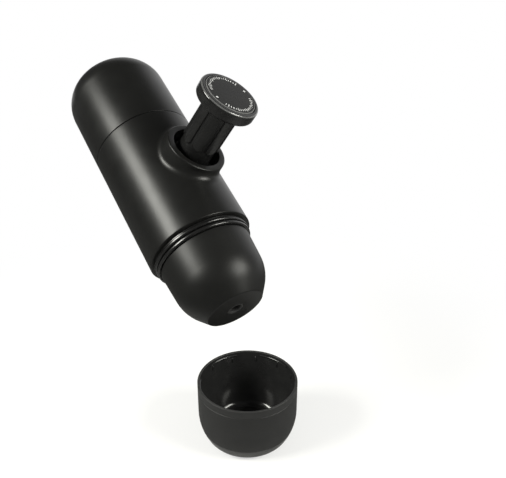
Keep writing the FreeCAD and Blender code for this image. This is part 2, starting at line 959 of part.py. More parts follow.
def suction_strainer():
    """Little perforated cap over the inlet valve."""
    bore = size.valve_radius + size.seat_gap
    outer = bore + size.strainer_wall
    low = valve_seat_top - size.strainer_overlap
    high = low + size.strainer_height
    body = turned("suction_strainer", DUCT, [
        (bore, low),
        (outer, low),
        (outer, high, size.strainer_wall),
        (0, high),
        (0, high - size.strainer_wall),
        (bore, high - size.strainer_wall),
    ])
    circles = circles_inside(bore, size.strainer_hole, size.strainer_pitch)
    spots = [(0, 0)] + perforations(size.strainer_pitch, 1, circles)
    drill(body, spots, size.strainer_hole, high + OVERRUN, OVERRUN + size.strainer_wall * 2)
    return body


def outlet_tube():
    """Upright tube from the pump to the group plate, with the outlet valve inside."""
    top = housing_low
    return turned("outlet_tube", DUCT, [
        (size.valve_hole, plate_top),
        (size.tube_radius, plate_top),
        (size.tube_radius, top),
        (size.valve_hole, top),
        (size.valve_hole, top - size.tube_end),
        (size.tube_bore, top - size.tube_end),
        (size.tube_bore, plate_top + size.tube_end),
        (size.valve_hole, plate_top + size.tube_end),
    ])


def poppet_heights():
    high = housing_low - size.tube_end - size.seat_gap
    return high - size.poppet_thickness, high


def outlet_poppet():
    low, high = poppet_heights()
    return turned("outlet_poppet", DUCT, [
        (0, low),
        (size.poppet_radius, low),
        (size.poppet_radius, high),
        (0, high),
    ])


def outlet_spring():
    low, _ = poppet_heights()
    radius = size.poppet_radius - size.valve_spring_wire / 2
    return coil("outlet_spring", DUCT, radius, size.valve_spring_wire,
                plate_top + size.tube_end + size.seat_gap, low - size.seat_gap,
                size.valve_spring_turns)


def chassis_posts():
    height = housing_low - plate_top
    pieces = [cylinder(size.post_radius, plate_top, height, x, y)
              for x, y in ring_spots(post_circle, 3)]
    return group("chassis_posts", MAKER, pieces)


# ---------------------------------------------------------------- group

def group_plate():
    """Plate on the body's floor whose spigot brings the water into the neck."""
    spigot = neck_bore - size.fit_gap
    recess_top = plate_low + size.plate_recess
    body = turned("group_plate", MAKER, [
        (0, plate_low),
        (size.plate_recess_inner, plate_low),
        (size.plate_recess_inner, recess_top),
        (plate_recess_outer, recess_top),
        (plate_recess_outer, plate_low),
        (spigot, plate_low),
        (spigot, body_floor_top),
        (inner_radius, body_floor_top),
        (inner_radius, plate_top),
        (0, plate_top),
    ])
    channel_height = plate_top - size.plate_thickness / 2
    drill(body, [(-duct_offset, 0)], size.valve_hole, plate_top, size.plate_thickness / 2)
    channel = Drawing(body, "YZ_Plane", -size.exit_offset)
    channel.circle(0, channel_height, size.channel_radius)
    pocket(body, channel, duct_offset - size.exit_offset + size.valve_hole)
    drill(body, [(-size.exit_offset, 0)], size.channel_radius, channel_height,
          channel_height - plate_low)
    drill(body, [(0, 0)], size.shower_screw_radius + size.seat_gap,
          plate_low + size.shower_screw_length, size.shower_screw_length + OVERRUN)
    return body


def shower_screen():
    body = turned("shower_screen", MAKER, [
        (size.shower_screw_radius + size.seat_gap, screen_low),
        (screen_radius, screen_low),
        (screen_radius, plate_low),
        (size.shower_screw_radius + size.seat_gap, plate_low),
    ])
    first = math.ceil((size.plate_recess_inner + size.screen_hole).value / SIZES["screen_pitch"])
    last = circles_inside(plate_recess_outer, size.screen_hole / 2, size.screen_pitch)
    spots = perforations(size.screen_pitch, first, last)
    drill(body, spots, size.screen_hole, plate_low, size.screen_thickness)
    return body


def shower_screw():
    head_low = screen_low - size.shower_screw_head_height
    tip = plate_low + size.shower_screw_length - size.screw_tip_gap
    return turned("shower_screw", MAKER, [
        (0, head_low),
        (size.shower_screw_head, head_low, size.shower_screw_head_round),
        (size.shower_screw_head, screen_low),
        (size.shower_screw_radius, screen_low),
        (size.shower_screw_radius, tip),
        (0, tip),
    ])


def group_gasket():
    outer = neck_bore - size.fit_gap
    return turned("group_gasket", MAKER, [
        (outer - size.gasket_width, gasket_low),
        (outer, gasket_low),
        (outer, screen_low),
        (outer - size.gasket_width, screen_low),
    ])


# ---------------------------------------------------------------- filter basket and outlet head

def filter_basket():
    inner = basket_radius - size.basket_wall
    flange_low = basket_rim - size.basket_flange
    floor = size.basket_low + size.basket_wall
    body = turned("filter_basket", MAKER, [
        (0, size.basket_low),
        (basket_radius, size.basket_low, size.basket_round),
        (basket_radius, flange_low),
        (basket_flange_radius, flange_low),
        (basket_flange_radius, basket_rim),
        (inner, basket_rim),
        (inner, floor, size.basket_round - size.basket_wall),
        (0, floor),
    ])
    circles = circles_inside(inner, size.basket_hole, size.basket_pitch)
    spots = [(0, 0)] + perforations(size.basket_pitch, 1, circles)
    drill(body, spots, size.basket_hole, floor, size.basket_wall * 2)
    return body


def outlet_head():
    """Rounded head that screws on the neck, holds the basket and ends in the flat outlet."""
    ledge = size.basket_low - size.fit_gap
    return turned("outlet_head", MAKER, [
        (size.spout_radius, 0),
        (head_face_radius, 0, size.head_face_edge),
        (head_waist_radius, size.head_waist_height, size.head_shoulder),
        (head_radius, head_top, size.body_edge / 2),
        (head_socket, head_top),
        (head_socket, head_socket_low),
        (head_bore, head_socket_low),
        (head_bore, ledge),
        (head_ledge_radius, ledge),
        (head_ledge_radius, size.head_funnel_high),
        (size.spout_radius, size.head_floor),
    ])


def spout_insert():
    outer = size.spout_radius - size.seat_gap
    return turned("spout_insert", MAKER, [
        (size.spout_bore + size.spout_edge, 0),
        (outer, 0),
        (outer, size.head_floor),
        (size.spout_bore, size.head_floor),
        (size.spout_bore, size.spout_edge),
    ])


# ---------------------------------------------------------------- cup

def cup():
    """Round-bottomed cup with a flat foot, a fine band line and small ribs inside its rim."""
    wall = size.cup_wall
    band = size.cup_height - size.cup_band_drop
    depth = size.cup_band_depth
    groove = size.cup_foot_ring_depth
    # half a wall higher than outside, which keeps the wall even round the flare
    inner_flare = size.cup_flare_height + wall / 2
    body = turned("cup", TABLE, [
        (0, 0),
        (cup_foot_ring - groove, 0),
        (cup_foot_ring, groove),
        (cup_foot_ring + groove, 0),
        (cup_foot_radius, 0, size.cup_foot_round),
        (size.cup_radius, size.cup_flare_height, size.cup_flare_round),
        (size.cup_radius, band - depth),
        (size.cup_radius - depth, band),
        (size.cup_radius, band + depth),
        (size.cup_radius, size.cup_height, size.cup_rim_edge),
        (size.cup_radius - wall, size.cup_height, size.cup_rim_edge),
        (size.cup_radius - wall, inner_flare, size.cup_flare_round - wall),
        (cup_foot_radius - wall, size.cup_floor, size.cup_foot_round - wall),
        (0, size.cup_floor),
    ])
    outer = size.cup_radius - wall / 2
    inner = size.cup_radius - wall - size.cup_rib_depth
    ribs = Drawing(body, "XY_Plane", size.cup_height - size.cup_band_drop - size.cup_rib_height)
    half = size.cup_rib_width / 2
    ribs.outline([(inner, -half), (outer, -half), (outer, half), (inner, half)])
    rib = pad(body, ribs, size.cup_rib_height)
    pattern(body, [rib], size.cup_rib_count)
    return body


# ---------------------------------------------------------------- build, check and write

pieces = [
    tank_shell(),
    tank_seal(),
    main_body(),
    trim_ring("trim_ring_upper", ring_upper_low, size.ring_upper_height, ring_upper_radius),
    trim_ring("trim_ring_lower", ring_lower_low, size.ring_lower_height, ring_lower_radius),
    collar_guide(),
    pump_housing(),
    pump_cylinder(),
    plunger_rod(),
    plunger_seal(),
    coil("return_spring", PISTON, size.spring_mean_radius, size.spring_wire, spring_low,
         spring_high, size.spring_turns),
    piston_sleeve(),
    piston_knob(),
    knob_cap(),
    knob_screw(),
    valve_deck(),
    deck_screws(),
    inlet_valve_body(),
    inlet_ball(),
    suction_strainer(),
    outlet_tube(),
    outlet_poppet(),
    outlet_spring(),
    chassis_posts(),
    group_plate(),
    shower_screen(),
    shower_screw(),
    group_gasket(),
    filter_basket(),
    outlet_head(),
    spout_insert(),
    cup(),
]

doc.recompute()
for item in doc.Objects:
    if "Invalid" in item.State or "Error" in item.State:
        raise RuntimeError(f"{item.Label} ({item.Name}) did not build: {item.State}")
for piece in pieces:
    if piece.Shape.isNull() or not piece.Shape.isValid():
        raise RuntimeError(f"{piece.Label} has no valid shape")

os.makedirs("parts", exist_ok=True)
for piece in pieces:
    piece.Shape.exportStep(f"parts/{piece.Label}.step")
    solids = len(piece.Shape.Solids)
    print(f"{piece.Label}: {solids} solid(s), {piece.Shape.Volume:.1f} mm3")
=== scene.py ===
# %% [markdown]
# # A handheld espresso maker, dressed for the camera
# The solids of the maker are already made and packed: a water tank, a barrel with a piston across
# it, a head with the filter basket, and a cup.  This lesson loads them as a fixed frame, builds
# smooth pieces over the ones that show, and paints every piece with procedural materials.
# Outlines are in millimetres; one matrix per group turns them into metres in the frame.

# %% load the frame
import json
import math

import bmesh
import bpy
import numpy as np
from mathutils import Matrix, Vector


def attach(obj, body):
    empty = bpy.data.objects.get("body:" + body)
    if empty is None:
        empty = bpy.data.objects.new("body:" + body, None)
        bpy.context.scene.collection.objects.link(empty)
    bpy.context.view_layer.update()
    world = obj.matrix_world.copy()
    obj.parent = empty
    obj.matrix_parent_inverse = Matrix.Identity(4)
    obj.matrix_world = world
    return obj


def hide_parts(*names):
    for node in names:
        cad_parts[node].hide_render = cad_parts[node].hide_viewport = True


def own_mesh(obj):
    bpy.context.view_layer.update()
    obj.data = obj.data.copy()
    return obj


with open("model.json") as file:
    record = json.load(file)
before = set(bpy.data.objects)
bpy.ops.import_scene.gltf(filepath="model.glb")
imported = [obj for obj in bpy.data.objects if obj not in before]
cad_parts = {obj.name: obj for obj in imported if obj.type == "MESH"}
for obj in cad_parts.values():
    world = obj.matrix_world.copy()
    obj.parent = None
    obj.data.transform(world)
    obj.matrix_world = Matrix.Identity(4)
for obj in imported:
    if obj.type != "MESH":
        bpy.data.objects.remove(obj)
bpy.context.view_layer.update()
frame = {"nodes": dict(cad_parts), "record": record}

scene = bpy.context.scene

# %% [markdown]
# The maker is held tilted over the cup.  Its own frame has the middle of the flat outlet as its
# origin and +Z up the barrel; the piston's frame has +Z out of the side collar.  Each piece is
# drawn upright in its own frame and moved once at the end.

# %% where each group of pieces is drawn
MM = 0.001
OUTLET = (-5.73, -24.71, 104.28)
HEADING, TILT, ROLL = 123.41, 58.80, -163.79
PISTON_HEIGHT = 83.0
DUCT_OFFSET = 19.5


def turned_by(degrees, axis):
    return Matrix.Rotation(math.radians(degrees), 4, axis)


def raised(height):
    return Matrix.Translation((0, 0, height))


TABLE = Matrix.Scale(MM, 4)
MAKER = (TABLE @ Matrix.Translation(OUTLET) @ turned_by(HEADING, "Z") @ turned_by(TILT, "Y")
         @ turned_by(ROLL, "Z"))
PISTON = MAKER @ raised(PISTON_HEIGHT) @ turned_by(90, "Y")
DUCT = MAKER @ Matrix.Translation((-DUCT_OFFSET, 0, 0))


def upward(group):
    """The way a group's own +Z points in the frame."""
    return (group.to_3x3() @ Vector((0, 0, 1))).normalized()


print("up the barrel:", [round(c, 3) for c in upward(MAKER)])
print("out of the collar:", [round(c, 3) for c in upward(PISTON)])

# %% [markdown]
# The camera looks down at the table from a little above the maker, with a medium lens.

# %% camera
LOOKING_DOWN = 25.2
lens = bpy.data.cameras.new("camera")
lens.sensor_width = 36.0
lens.lens = 45.53
lens.clip_start = 0.01
camera = bpy.data.objects.new("camera", lens)
camera.location = (0.0033, -0.3106, 0.2790)
camera.rotation_euler = (math.radians(90 - LOOKING_DOWN), 0.0, 0.0)
scene.collection.objects.link(camera)
scene.camera = camera
scene.view_settings.view_transform = "Standard"
print("lens", lens.lens, "mm, looking down", LOOKING_DOWN, "degrees")

# %% [markdown]
# Node trees are easier to read as sums than as boxes.  `Wire` wraps an output socket and turns
# Python's operators into Math nodes; `Board` puts any other node on a tree in one call.  The same
# two classes serve materials and Geometry Nodes.

# %% wires and boards
class Wire:
    """An output socket that Python can calculate with."""

    def __init__(self, board, socket):
        self.board = board
        self.socket = socket


def operator(operation, swapped=False):
    """A method of Wire that puts a Math node on the wire's board."""
    def method(wire, *other):
        return wire.board.math(operation, *((*other, wire) if swapped else (wire, *other)))
    return method


for symbol, operation in (("add", "ADD"), ("sub", "SUBTRACT"), ("mul", "MULTIPLY"),
                          ("truediv", "DIVIDE"), ("pow", "POWER")):
    setattr(Wire, f"__{symbol}__", operator(operation))
    setattr(Wire, f"__r{symbol}__", operator(operation, swapped=True))
Wire.__mod__ = operator("FLOORED_MODULO")
Wire.__lt__ = operator("LESS_THAN")
Wire.__abs__ = operator("ABSOLUTE")


class Board:
    """A node tree that nodes are put on."""

    def __init__(self, tree):
        self.tree = tree

    def put(self, kind, inputs=None, out=0, **settings):
        """Add a node with values or wires on its inputs; one of its outputs comes back."""
        node = self.tree.nodes.new(kind)
        for name, value in settings.items():
            setattr(node, name, value)
        for key, value in (inputs or {}).items():
            if isinstance(value, Wire):
                self.tree.links.new(value.socket, node.inputs[key])
            else:
                node.inputs[key].default_value = value
        return Wire(self, node.outputs[out]) if node.outputs else None

    def math(self, operation, *values):
        return self.put("ShaderNodeMath", dict(enumerate(values)), operation=operation)

    def parts(self, vector):
        """The x, y and z of a vector."""
        first = self.put("ShaderNodeSeparateXYZ", {0: vector})
        return [Wire(self, socket) for socket in first.socket.node.outputs]

    def vector(self, x, y, z):
        return self.put("ShaderNodeCombineXYZ", {0: x, 1: y, 2: z})

    def soft_step(self, value, low, high):
        """0 at low, 1 at high, and smooth between."""
        return self.put("ShaderNodeMapRange",
                        {"Value": value, "From Min": low, "From Max": high},
                        interpolation_type="SMOOTHSTEP")


print("Wire and Board are ready")

# %% [markdown]
# A finish is one Principled shader whose colour, roughness and bump vary over the surface.  Its
# patterns are laid out in millimetres in the frame of a group, so that rings are centred on a
# turned piece and a grain has its true size.  What a finish leaves out keeps its default.

# %% a board for finishes
class FinishBoard(Board):
    """A shader tree, with patterns measured in millimetres."""

    def __init__(self, owner):
        """Start an empty tree on a material or a world."""
        owner.use_nodes = True
        owner.node_tree.nodes.clear()
        super().__init__(owner.node_tree)

    def here(self, group=TABLE):
        """The point being shaded, in millimetres in a group's own frame."""
        place, turn, size = group.decompose()
        spot = self.put("ShaderNodeTexCoord", out="Object")
        return self.put("ShaderNodeMapping",
                        {"Vector": spot, "Location": place, "Rotation": turn.to_euler(),
                         "Scale": size}, vector_type="TEXTURE")

    def grain(self, where, size, detail=2.0, rough=0.5):
        """Soft noise whose lumps are about size millimetres wide."""
        return self.put("ShaderNodeTexNoise", {"Vector": where, "Scale": 1.0 / size,
                                               "Detail": detail, "Roughness": rough})

    def lathe_lines(self, where, across, along, detail):
        """Fine rings about the Z axis, then the reach from that axis and the height."""
        x, y, z = self.parts(where)
        reach = (x * x + y * y) ** 0.5
        rings = self.vector(reach * across, z * along, 0.0)
        return self.grain(rings, 1.0, detail), reach, z

    def blend(self, share, first, second):
        """A colour between two colours."""
        return self.put("ShaderNodeMix",
                        {0: share, 6: self.colour(first), 7: self.colour(second)}, 2,
                        data_type="RGBA")

    def colour(self, shade):
        """A wire as it is; one level as a grey; three levels as a colour."""
        if isinstance(shade, Wire):
            return shade
        return (*shade, 1.0) if isinstance(shade, tuple) else (shade, shade, shade, 1.0)

    def relief(self, height, depth, strength):
        """A bump whose height of one stands depth millimetres proud."""
        return self.put("ShaderNodeBump", {"Strength": strength, "Distance": depth * MM,
                                           "Height": height})

    def rays(self):
        """1 for rays straight from the camera or through glass; 1 for mirrored rays."""
        outputs = self.put("ShaderNodeLightPath").socket.node.outputs
        camera_ray, clear_ray, mirrored = (Wire(self, outputs[f"Is {kind} Ray"])
                                           for kind in ("Camera", "Transmission", "Glossy"))
        return self.math("MINIMUM", camera_ray + clear_ray, 1.0), mirrored


def finish(name, group=MAKER):
    """Put this over a recipe, and the recipe's name stands for the finished material."""
    def apply(recipe):
        material = bpy.data.materials.new(name)
        board = FinishBoard(material)
        shader = board.put("ShaderNodeBsdfPrincipled", recipe(board, board.here(group)))
        board.put("ShaderNodeOutputMaterial", {"Surface": shader})
        print("finish", name, "with", len(board.tree.nodes), "nodes")
        return material
    return apply

# %% [markdown]
# The tank, the barrel and the head are one black plastic from a spark-eroded mould, whose very
# fine grain spreads highlights into soft bands; the head is a little duller.  Larger, fainter
# lumps in roughness stand for handling.

# %% moulded shell plastic
HEAD_RIM = 35.15


@finish("moulded_shell_black")
def shell_black(board, here):
    _, _, z = board.parts(here)
    on_head = board.soft_step(z, HEAD_RIM + 0.3, HEAD_RIM)
    spark_grain = board.grain(here, 0.16, 3.0, 0.6)
    handling = board.grain(here, 9.0, 3.0)
    flow = board.grain(here, 34.0, 1.0)
    warm = board.blend(handling, (0.0042, 0.0042, 0.0040), (0.0068, 0.0069, 0.0064))
    return {
        "Base Color": board.blend(spark_grain * 0.3, warm, 0.011),
        "Roughness": (0.27 + handling * 0.07 + spark_grain * 0.04 + flow * 0.03
                      + on_head * 0.07),
        "Normal": board.relief(spark_grain, 0.010, 0.55),
        "Specular IOR Level": 0.24,
    }

# %% [markdown]
# The two trim rings are glossy: they are mostly reflection, so their colour hardly matters.  Fine
# scratches run round them.

# %% glossy ring plastic
@finish("polished_ring_black")
def gloss_black(board, here):
    x, y, z = board.parts(here)
    round_lines = board.grain(board.vector(board.math("ARCTAN2", y, x) * 3.0, z * 9.0, 0.0), 0.9)
    smear = board.grain(here, 5.0)
    return {
        "Base Color": board.blend(smear, 0.004, 0.009),
        "Roughness": 0.22 + smear * 0.05 + board.soft_step(round_lines, 0.55, 0.75) * 0.04,
        "Normal": board.relief(round_lines, 0.004, 0.35),
    }

# %% [markdown]
# The knob and its lobed sleeve are a harder black plastic, smoother than the shell, with the
# faint rings that a lathe leaves in a mould.  Hands have polished the knob's rounded edge, so it
# mirrors light as a thin line, and a thin ring on its crest is painted paler as a painted
# highlight.

# %% piston plastic
KNOB_RADIUS, KNOB_TOP, POCKET_RADIUS = 16.8, 72.5, 14.75


@finish("piston_black", PISTON)
def piston_black(board, here):
    lathe_rings, reach, z = board.lathe_lines(here, 4.0, 4.0, 2.0)
    wear = board.grain(here, 4.0, 3.0)
    edge = (board.soft_step(reach, POCKET_RADIUS + 0.15, POCKET_RADIUS + 0.55)
            * board.soft_step(z, KNOB_TOP - 2.3, KNOB_TOP - 1.5))
    # A thin ring on the crest is painted paler: a painted highlight along the rounded edge.
    crest = (board.soft_step(reach, KNOB_RADIUS - 0.85, KNOB_RADIUS - 0.55)
             * board.soft_step(z, KNOB_TOP - 0.85, KNOB_TOP - 0.55))
    body = board.blend(wear, 0.0055, 0.0105)
    return {
        "Base Color": board.blend(crest * (0.5 + wear), body, 0.085),
        "Roughness": 0.20 + wear * 0.07 + lathe_rings * 0.03 - edge * 0.12,
        "Normal": board.relief(lathe_rings, 0.005, 0.4),
    }

# %% [markdown]
# The cap in the knob is dark grey and matt, with rings left by turning.  Its rim is painted paler
# as a painted highlight.  The marks printed on it are pale ink, a little uneven where the pad
# lifted.

# %% cap plastic and its ink
CAP_RADIUS = 14.3


@finish("cap_dark_grey", PISTON)
def cap_grey(board, here):
    turning, reach, _ = board.lathe_lines(here, 5.0, 1.0, 3.0)
    cloud = board.grain(here, 6.0, 2.0)
    # The paler rim is a painted highlight round the cap's edge.
    painted_highlight_rim = board.soft_step(reach, CAP_RADIUS - 0.55, CAP_RADIUS - 0.25)
    face = board.blend(cloud, 0.0085, 0.0130)
    return {
        "Base Color": board.blend(painted_highlight_rim, face, 0.11),
        "Roughness": 0.42 + turning * 0.10,
        "Normal": board.relief(turning, 0.006, 0.5),
        "Specular IOR Level": 0.22,
    }


@finish("cap_pale_ink", PISTON)
def cap_ink(board, here):
    patch = board.grain(here, 0.5, 3.0)
    return {
        "Base Color": board.blend(patch, 0.46, 0.74),
        "Roughness": 0.5 + patch * 0.2,
        "Normal": board.relief(patch, 0.004, 0.5),
    }

# %% [markdown]
# The cup is rubbery and matt outside and smooth and shiny inside, so it gets two finishes.  The
# outside has a coarser grain than the maker and a slightly lighter band under its rim.

# %% cup plastic, outside and inside
CUP_BAND_LINE = 35.4


@finish("cup_outside_black", TABLE)
def cup_matt(board, here):
    _, _, z = board.parts(here)
    grain = board.grain(here, 0.22, 3.0, 0.6)
    rubbed = board.grain(here, 7.0, 3.0)
    band = board.soft_step(z, CUP_BAND_LINE - 0.2, CUP_BAND_LINE + 0.2)
    body = board.blend(rubbed, 0.0080, 0.0132)
    return {
        "Base Color": board.blend(band * 0.4, body, 0.019),
        "Roughness": 0.50 + grain * 0.10 + rubbed * 0.06,
        "Normal": board.relief(grain, 0.012, 0.6),
        "Specular IOR Level": 0.4,
    }


@finish("cup_inside_black", TABLE)
def cup_gloss(board, here):
    smear = board.grain(here, 6.0, 3.0)
    fine = board.grain(here, 0.8, 2.0)
    return {
        "Base Color": board.blend(smear, 0.0120, 0.0200),
        "Roughness": 0.11 + smear * 0.08,
        "Normal": board.relief(fine, 0.006, 0.3),
    }

# %% [markdown]
# The inner pieces show when the tank or the head is off, and through the collar.  They are a
# duller black plastic, stainless steel with turning lines, brass, and grey silicone rubber.

# %% inner plastic, steel, brass and silicone
@finish("inner_black")
def inner_black(board, here):
    grain = board.grain(here, 0.3, 3.0, 0.6)
    cloud = board.grain(here, 8.0, 2.0)
    return {
        "Base Color": board.blend(cloud, 0.012, 0.021),
        "Roughness": 0.42 + grain * 0.12,
        "Normal": board.relief(grain, 0.008, 0.5),
        "Specular IOR Level": 0.4,
    }


def turned_metal(lines, cloud, dark, light, roughness, depth):
    """A recipe for metal off a lathe.  Lines and cloud each have a scale and a detail."""
    def recipe(board, here):
        turning, *_ = board.lathe_lines(here, lines[0], *lines)
        patches = board.grain(here, *cloud)
        base, from_lines, from_cloud = roughness
        return {
            "Base Color": board.blend(patches, dark, light),
            "Metallic": 1.0,
            "Roughness": base + turning * from_lines + patches * from_cloud,
            "Normal": board.relief(turning, depth, 0.5),
        }
    return recipe


@finish("grey_silicone")
def silicone(board, here):
    bloom = board.grain(here, 1.8, 3.0)
    skin = board.grain(here, 0.25, 2.0)
    return {
        "Base Color": board.blend(bloom, (0.16, 0.17, 0.17), (0.26, 0.27, 0.27)),
        "Roughness": 0.48 + bloom * 0.16,
        "Normal": board.relief(skin, 0.008, 0.5),
        "Specular IOR Level": 0.35,
    }


steel = finish("turned_steel")(turned_metal(
    (6.0, 3.0), (4.0, 2.0), (0.50, 0.49, 0.47), (0.62, 0.61, 0.59), (0.24, 0.14, 0.05), 0.006))
brass = finish("turned_brass", DUCT)(turned_metal(
    (8.0, 2.0), (1.5, 3.0), (0.56, 0.37, 0.13), (0.72, 0.52, 0.22), (0.26, 0.12, 0.08), 0.005))
FINISH_OF_SLOT = {"shell_black": shell_black, "gloss_black": gloss_black,
                  "piston_black": piston_black, "cap_grey": cap_grey, "cup_black": cup_matt,
                  "inner_black": inner_black, "steel": steel, "brass": brass,
                  "silicone": silicone}

# %% [markdown]
# A turned piece is a flat outline swept round an axis.  `rounded` makes the outline from a short
# list of corners: a third number on a corner rounds it with an arc of that radius.  The arcs get
# even steps, which keep highlights smooth; a Bevel modifier would round every corner alike.

# %% outlines
ARC_STEP = math.radians(5.0)


def rounded(corners):
    """Points along a closed outline of corners (across, up) or (across, up, radius)."""
    spots = [Vector(corner[:2]) for corner in corners]
    points = []
    for i, corner in enumerate(corners):
        if len(corner) < 3:
            points.append(spots[i])
            continue
        into = (spots[i] - spots[i - 1]).normalized()
        away = (spots[(i + 1) % len(spots)] - spots[i]).normalized()
        bend = into.angle_signed(away)
        reach = corner[2] * math.tan(abs(bend) / 2)
        side = Vector((-into.y, into.x)) * math.copysign(corner[2], -bend)
        middle = spots[i] - into * reach + side
        steps = max(4, math.ceil(abs(bend) / ARC_STEP))
        for k in range(steps + 1):
            points.append(middle + Matrix.Rotation(-bend * k / steps, 2) @ -side)
    return points


print("a square corner of radius 4 becomes",
      len(rounded([(0, 0), (10, 0, 4), (10, 10), (0, 10)])) - 3, "points")

# %% [markdown]
# `turned` sweeps an outline.  A point on the axis becomes one pole.  The mesh is moved into the
# frame, its faces are made to point outwards, and edges sharper than a limit stay crisp.

# %% turned pieces
AROUND = 192
CRISP = math.radians(32.0)


def tidy_mesh(mesh, place):
    """Close the seams, point the faces outwards and choose which edges stay crisp."""
    shape = bmesh.new()
    shape.from_mesh(mesh)
    bmesh.ops.remove_doubles(shape, verts=shape.verts, dist=1e-4)
    bmesh.ops.recalc_face_normals(shape, faces=shape.faces)
    shape.to_mesh(mesh)
    shape.free()
    mesh.transform(place)
    mesh.shade_smooth()
    mesh.set_sharp_from_angle(angle=CRISP)


def mesh_of(name, spots, faces):
    mesh = bpy.data.meshes.new(name)
    mesh.from_pydata(spots, [], faces)
    return mesh


def swept(name, points):
    """The mesh of a closed outline turned round the Z axis, in millimetres."""
    angles = [2 * math.pi * k / AROUND for k in range(AROUND)]
    spots, rings = [], []
    for point in points:
        if point.x < 1e-6:
            rings.append([len(spots)] * AROUND)
            spots.append((0.0, 0.0, point.y))
        else:
            rings.append(list(range(len(spots), len(spots) + AROUND)))
            spots += [(point.x * math.cos(a), point.x * math.sin(a), point.y) for a in angles]
    faces = []
    for low, high in zip(rings, rings[1:] + rings[:1]):
        for k in range(AROUND):
            nxt = (k + 1) % AROUND
            corners = list(dict.fromkeys((low[k], low[nxt], high[nxt], high[k])))
            if len(corners) > 2:
                faces.append(corners)
    return mesh_of(name, spots, faces)


def piece(name, mesh, place, body, slot, replaced=()):
    """Put a mesh in the scene, on its body, in its slot's finish and in place of its solids."""
    tidy_mesh(mesh, place)
    thing = bpy.data.objects.new(name, mesh)
    scene.collection.objects.link(thing)
    if not mesh.materials:
        mesh.materials.append(FINISH_OF_SLOT[slot])
    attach(thing, body)
    if replaced:
        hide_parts(*replaced)
    mesh.calc_loop_triangles()
    print(name, "rides on", body, "with", len(mesh.loop_triangles), "triangles")
    return thing


def turned(name, place, corners, body, slot):
    """A turned piece that stands for the solid of the same name."""
    return piece(name + "_skin", swept(name, rounded(corners)), place, body, slot, [name])

# %% [markdown]
# The water tank is one turned moulding: a dome whose crown is almost flat, a straight wall, and
# below the seam a narrower skirt with three thread ridges that screw into the barrel.

# %% water tank
BARREL_RADIUS = 30.0
TANK_TOP, TANK_WALL, SEAM, SEAM_GAP, EDGE_ROUND = 176.3, 2.2, 117.4, 0.15, 0.3
CROWN, CROWN_ROUND, CROWN_DROP, DOME_ROUND = 7, 120, 1.5, 19
SKIRT_ROOT, SKIRT_BORE, SKIRT_LOW = 26.7, 24.7, 109.4
FIRST_RIDGE, RIDGE, RIDGE_TIP, PITCH = 1.6, 0.6, 0.15, 2.2
THROAT_LOW, THROAT_HIGH = SEAM + 2.15, SEAM + 6.15

tank_bore = BARREL_RADIUS - TANK_WALL
tank_corners = [(0, TANK_TOP), (CROWN, TANK_TOP, CROWN_ROUND),
                (BARREL_RADIUS, TANK_TOP - CROWN_DROP, DOME_ROUND),
                (BARREL_RADIUS, SEAM + SEAM_GAP, EDGE_ROUND), (SKIRT_ROOT, SEAM + SEAM_GAP)]
for ridge in (2, 1, 0):
    crest = SKIRT_LOW + FIRST_RIDGE + PITCH * ridge
    tank_corners += [(SKIRT_ROOT, crest + RIDGE), (SKIRT_ROOT + RIDGE, crest, RIDGE_TIP),
                     (SKIRT_ROOT, crest - RIDGE)]
tank_corners += [(SKIRT_ROOT, SKIRT_LOW, EDGE_ROUND), (SKIRT_BORE, SKIRT_LOW, EDGE_ROUND),
                 (SKIRT_BORE, THROAT_LOW), (tank_bore, THROAT_HIGH),
                 (tank_bore, TANK_TOP - CROWN_DROP - TANK_WALL, DOME_ROUND - TANK_WALL),
                 (CROWN, TANK_TOP - TANK_WALL, CROWN_ROUND), (0, TANK_TOP - TANK_WALL)]
turned("tank_shell", MAKER, tank_corners, "tank", "shell_black")

# %% [markdown]
# No simple sweep gives the barrel: a round collar stands out of its side, and where they meet
# there is a rolling round, as if a ball had been rolled along the corner.  The ball's middle
# keeps one distance from the barrel's axis and one from the collar's, so its place has a formula,
# and the two points where it touches are the edges of the blend.  The wall round the collar is
# made by spreading that edge out over the unrolled barrel until it meets the two ends.

# %% barrel: the wall that a round hole or collar goes through
LOW_END, HIGH_END = 40.8, 117.25
LOW_ROUND, HIGH_ROUND = 0.6, 0.3
SIDE_STEPS, END_STEPS, WALL_STEPS = 36, 128, 26
SPREAD = 1.25
CORNER_ANGLE = math.radians(24.0)


def spread_angles():
    """Angles round the collar and the matching places on the unrolled wall's border, 0 to 1."""
    runs = [(-math.pi + CORNER_ANGLE, -CORNER_ANGLE, END_STEPS, (0, 0), (1, 0)),
            (-CORNER_ANGLE, CORNER_ANGLE, SIDE_STEPS, (1, 0), (1, 1)),
            (CORNER_ANGLE, math.pi - CORNER_ANGLE, END_STEPS, (1, 1), (0, 1)),
            (math.pi - CORNER_ANGLE, math.pi + CORNER_ANGLE, SIDE_STEPS, (0, 1), (0, 0))]
    angles, border = [], []
    for first, last, steps, start, end in runs:
        share = np.arange(steps) / steps
        angles.append(first + (last - first) * share)
        border.append(np.outer(1 - share, start) + np.outer(share, end))
    return np.concatenate(angles), np.concatenate(border)


ANGLES, BORDER = spread_angles()


def wall_rings(radius, edge, low, high):
    """Rings from an edge round the collar on a wall of that radius out to the wall's ends."""
    across = np.arcsin(edge[:, 1] / radius)
    border_across = (BORDER[:, 0] - 0.5) * 2 * math.pi
    border_up = low + (high - low) * BORDER[:, 1]
    rings = []
    for step in range(WALL_STEPS + 1):
        share = (step / WALL_STEPS) ** SPREAD
        turn = across * (1 - share) + border_across * share
        up = (PISTON_HEIGHT + edge[:, 2]) * (1 - share) + border_up * share
        rings.append(np.stack([radius * np.cos(turn), radius * np.sin(turn), up], 1))
    return rings


print("points round the collar:", len(ANGLES))

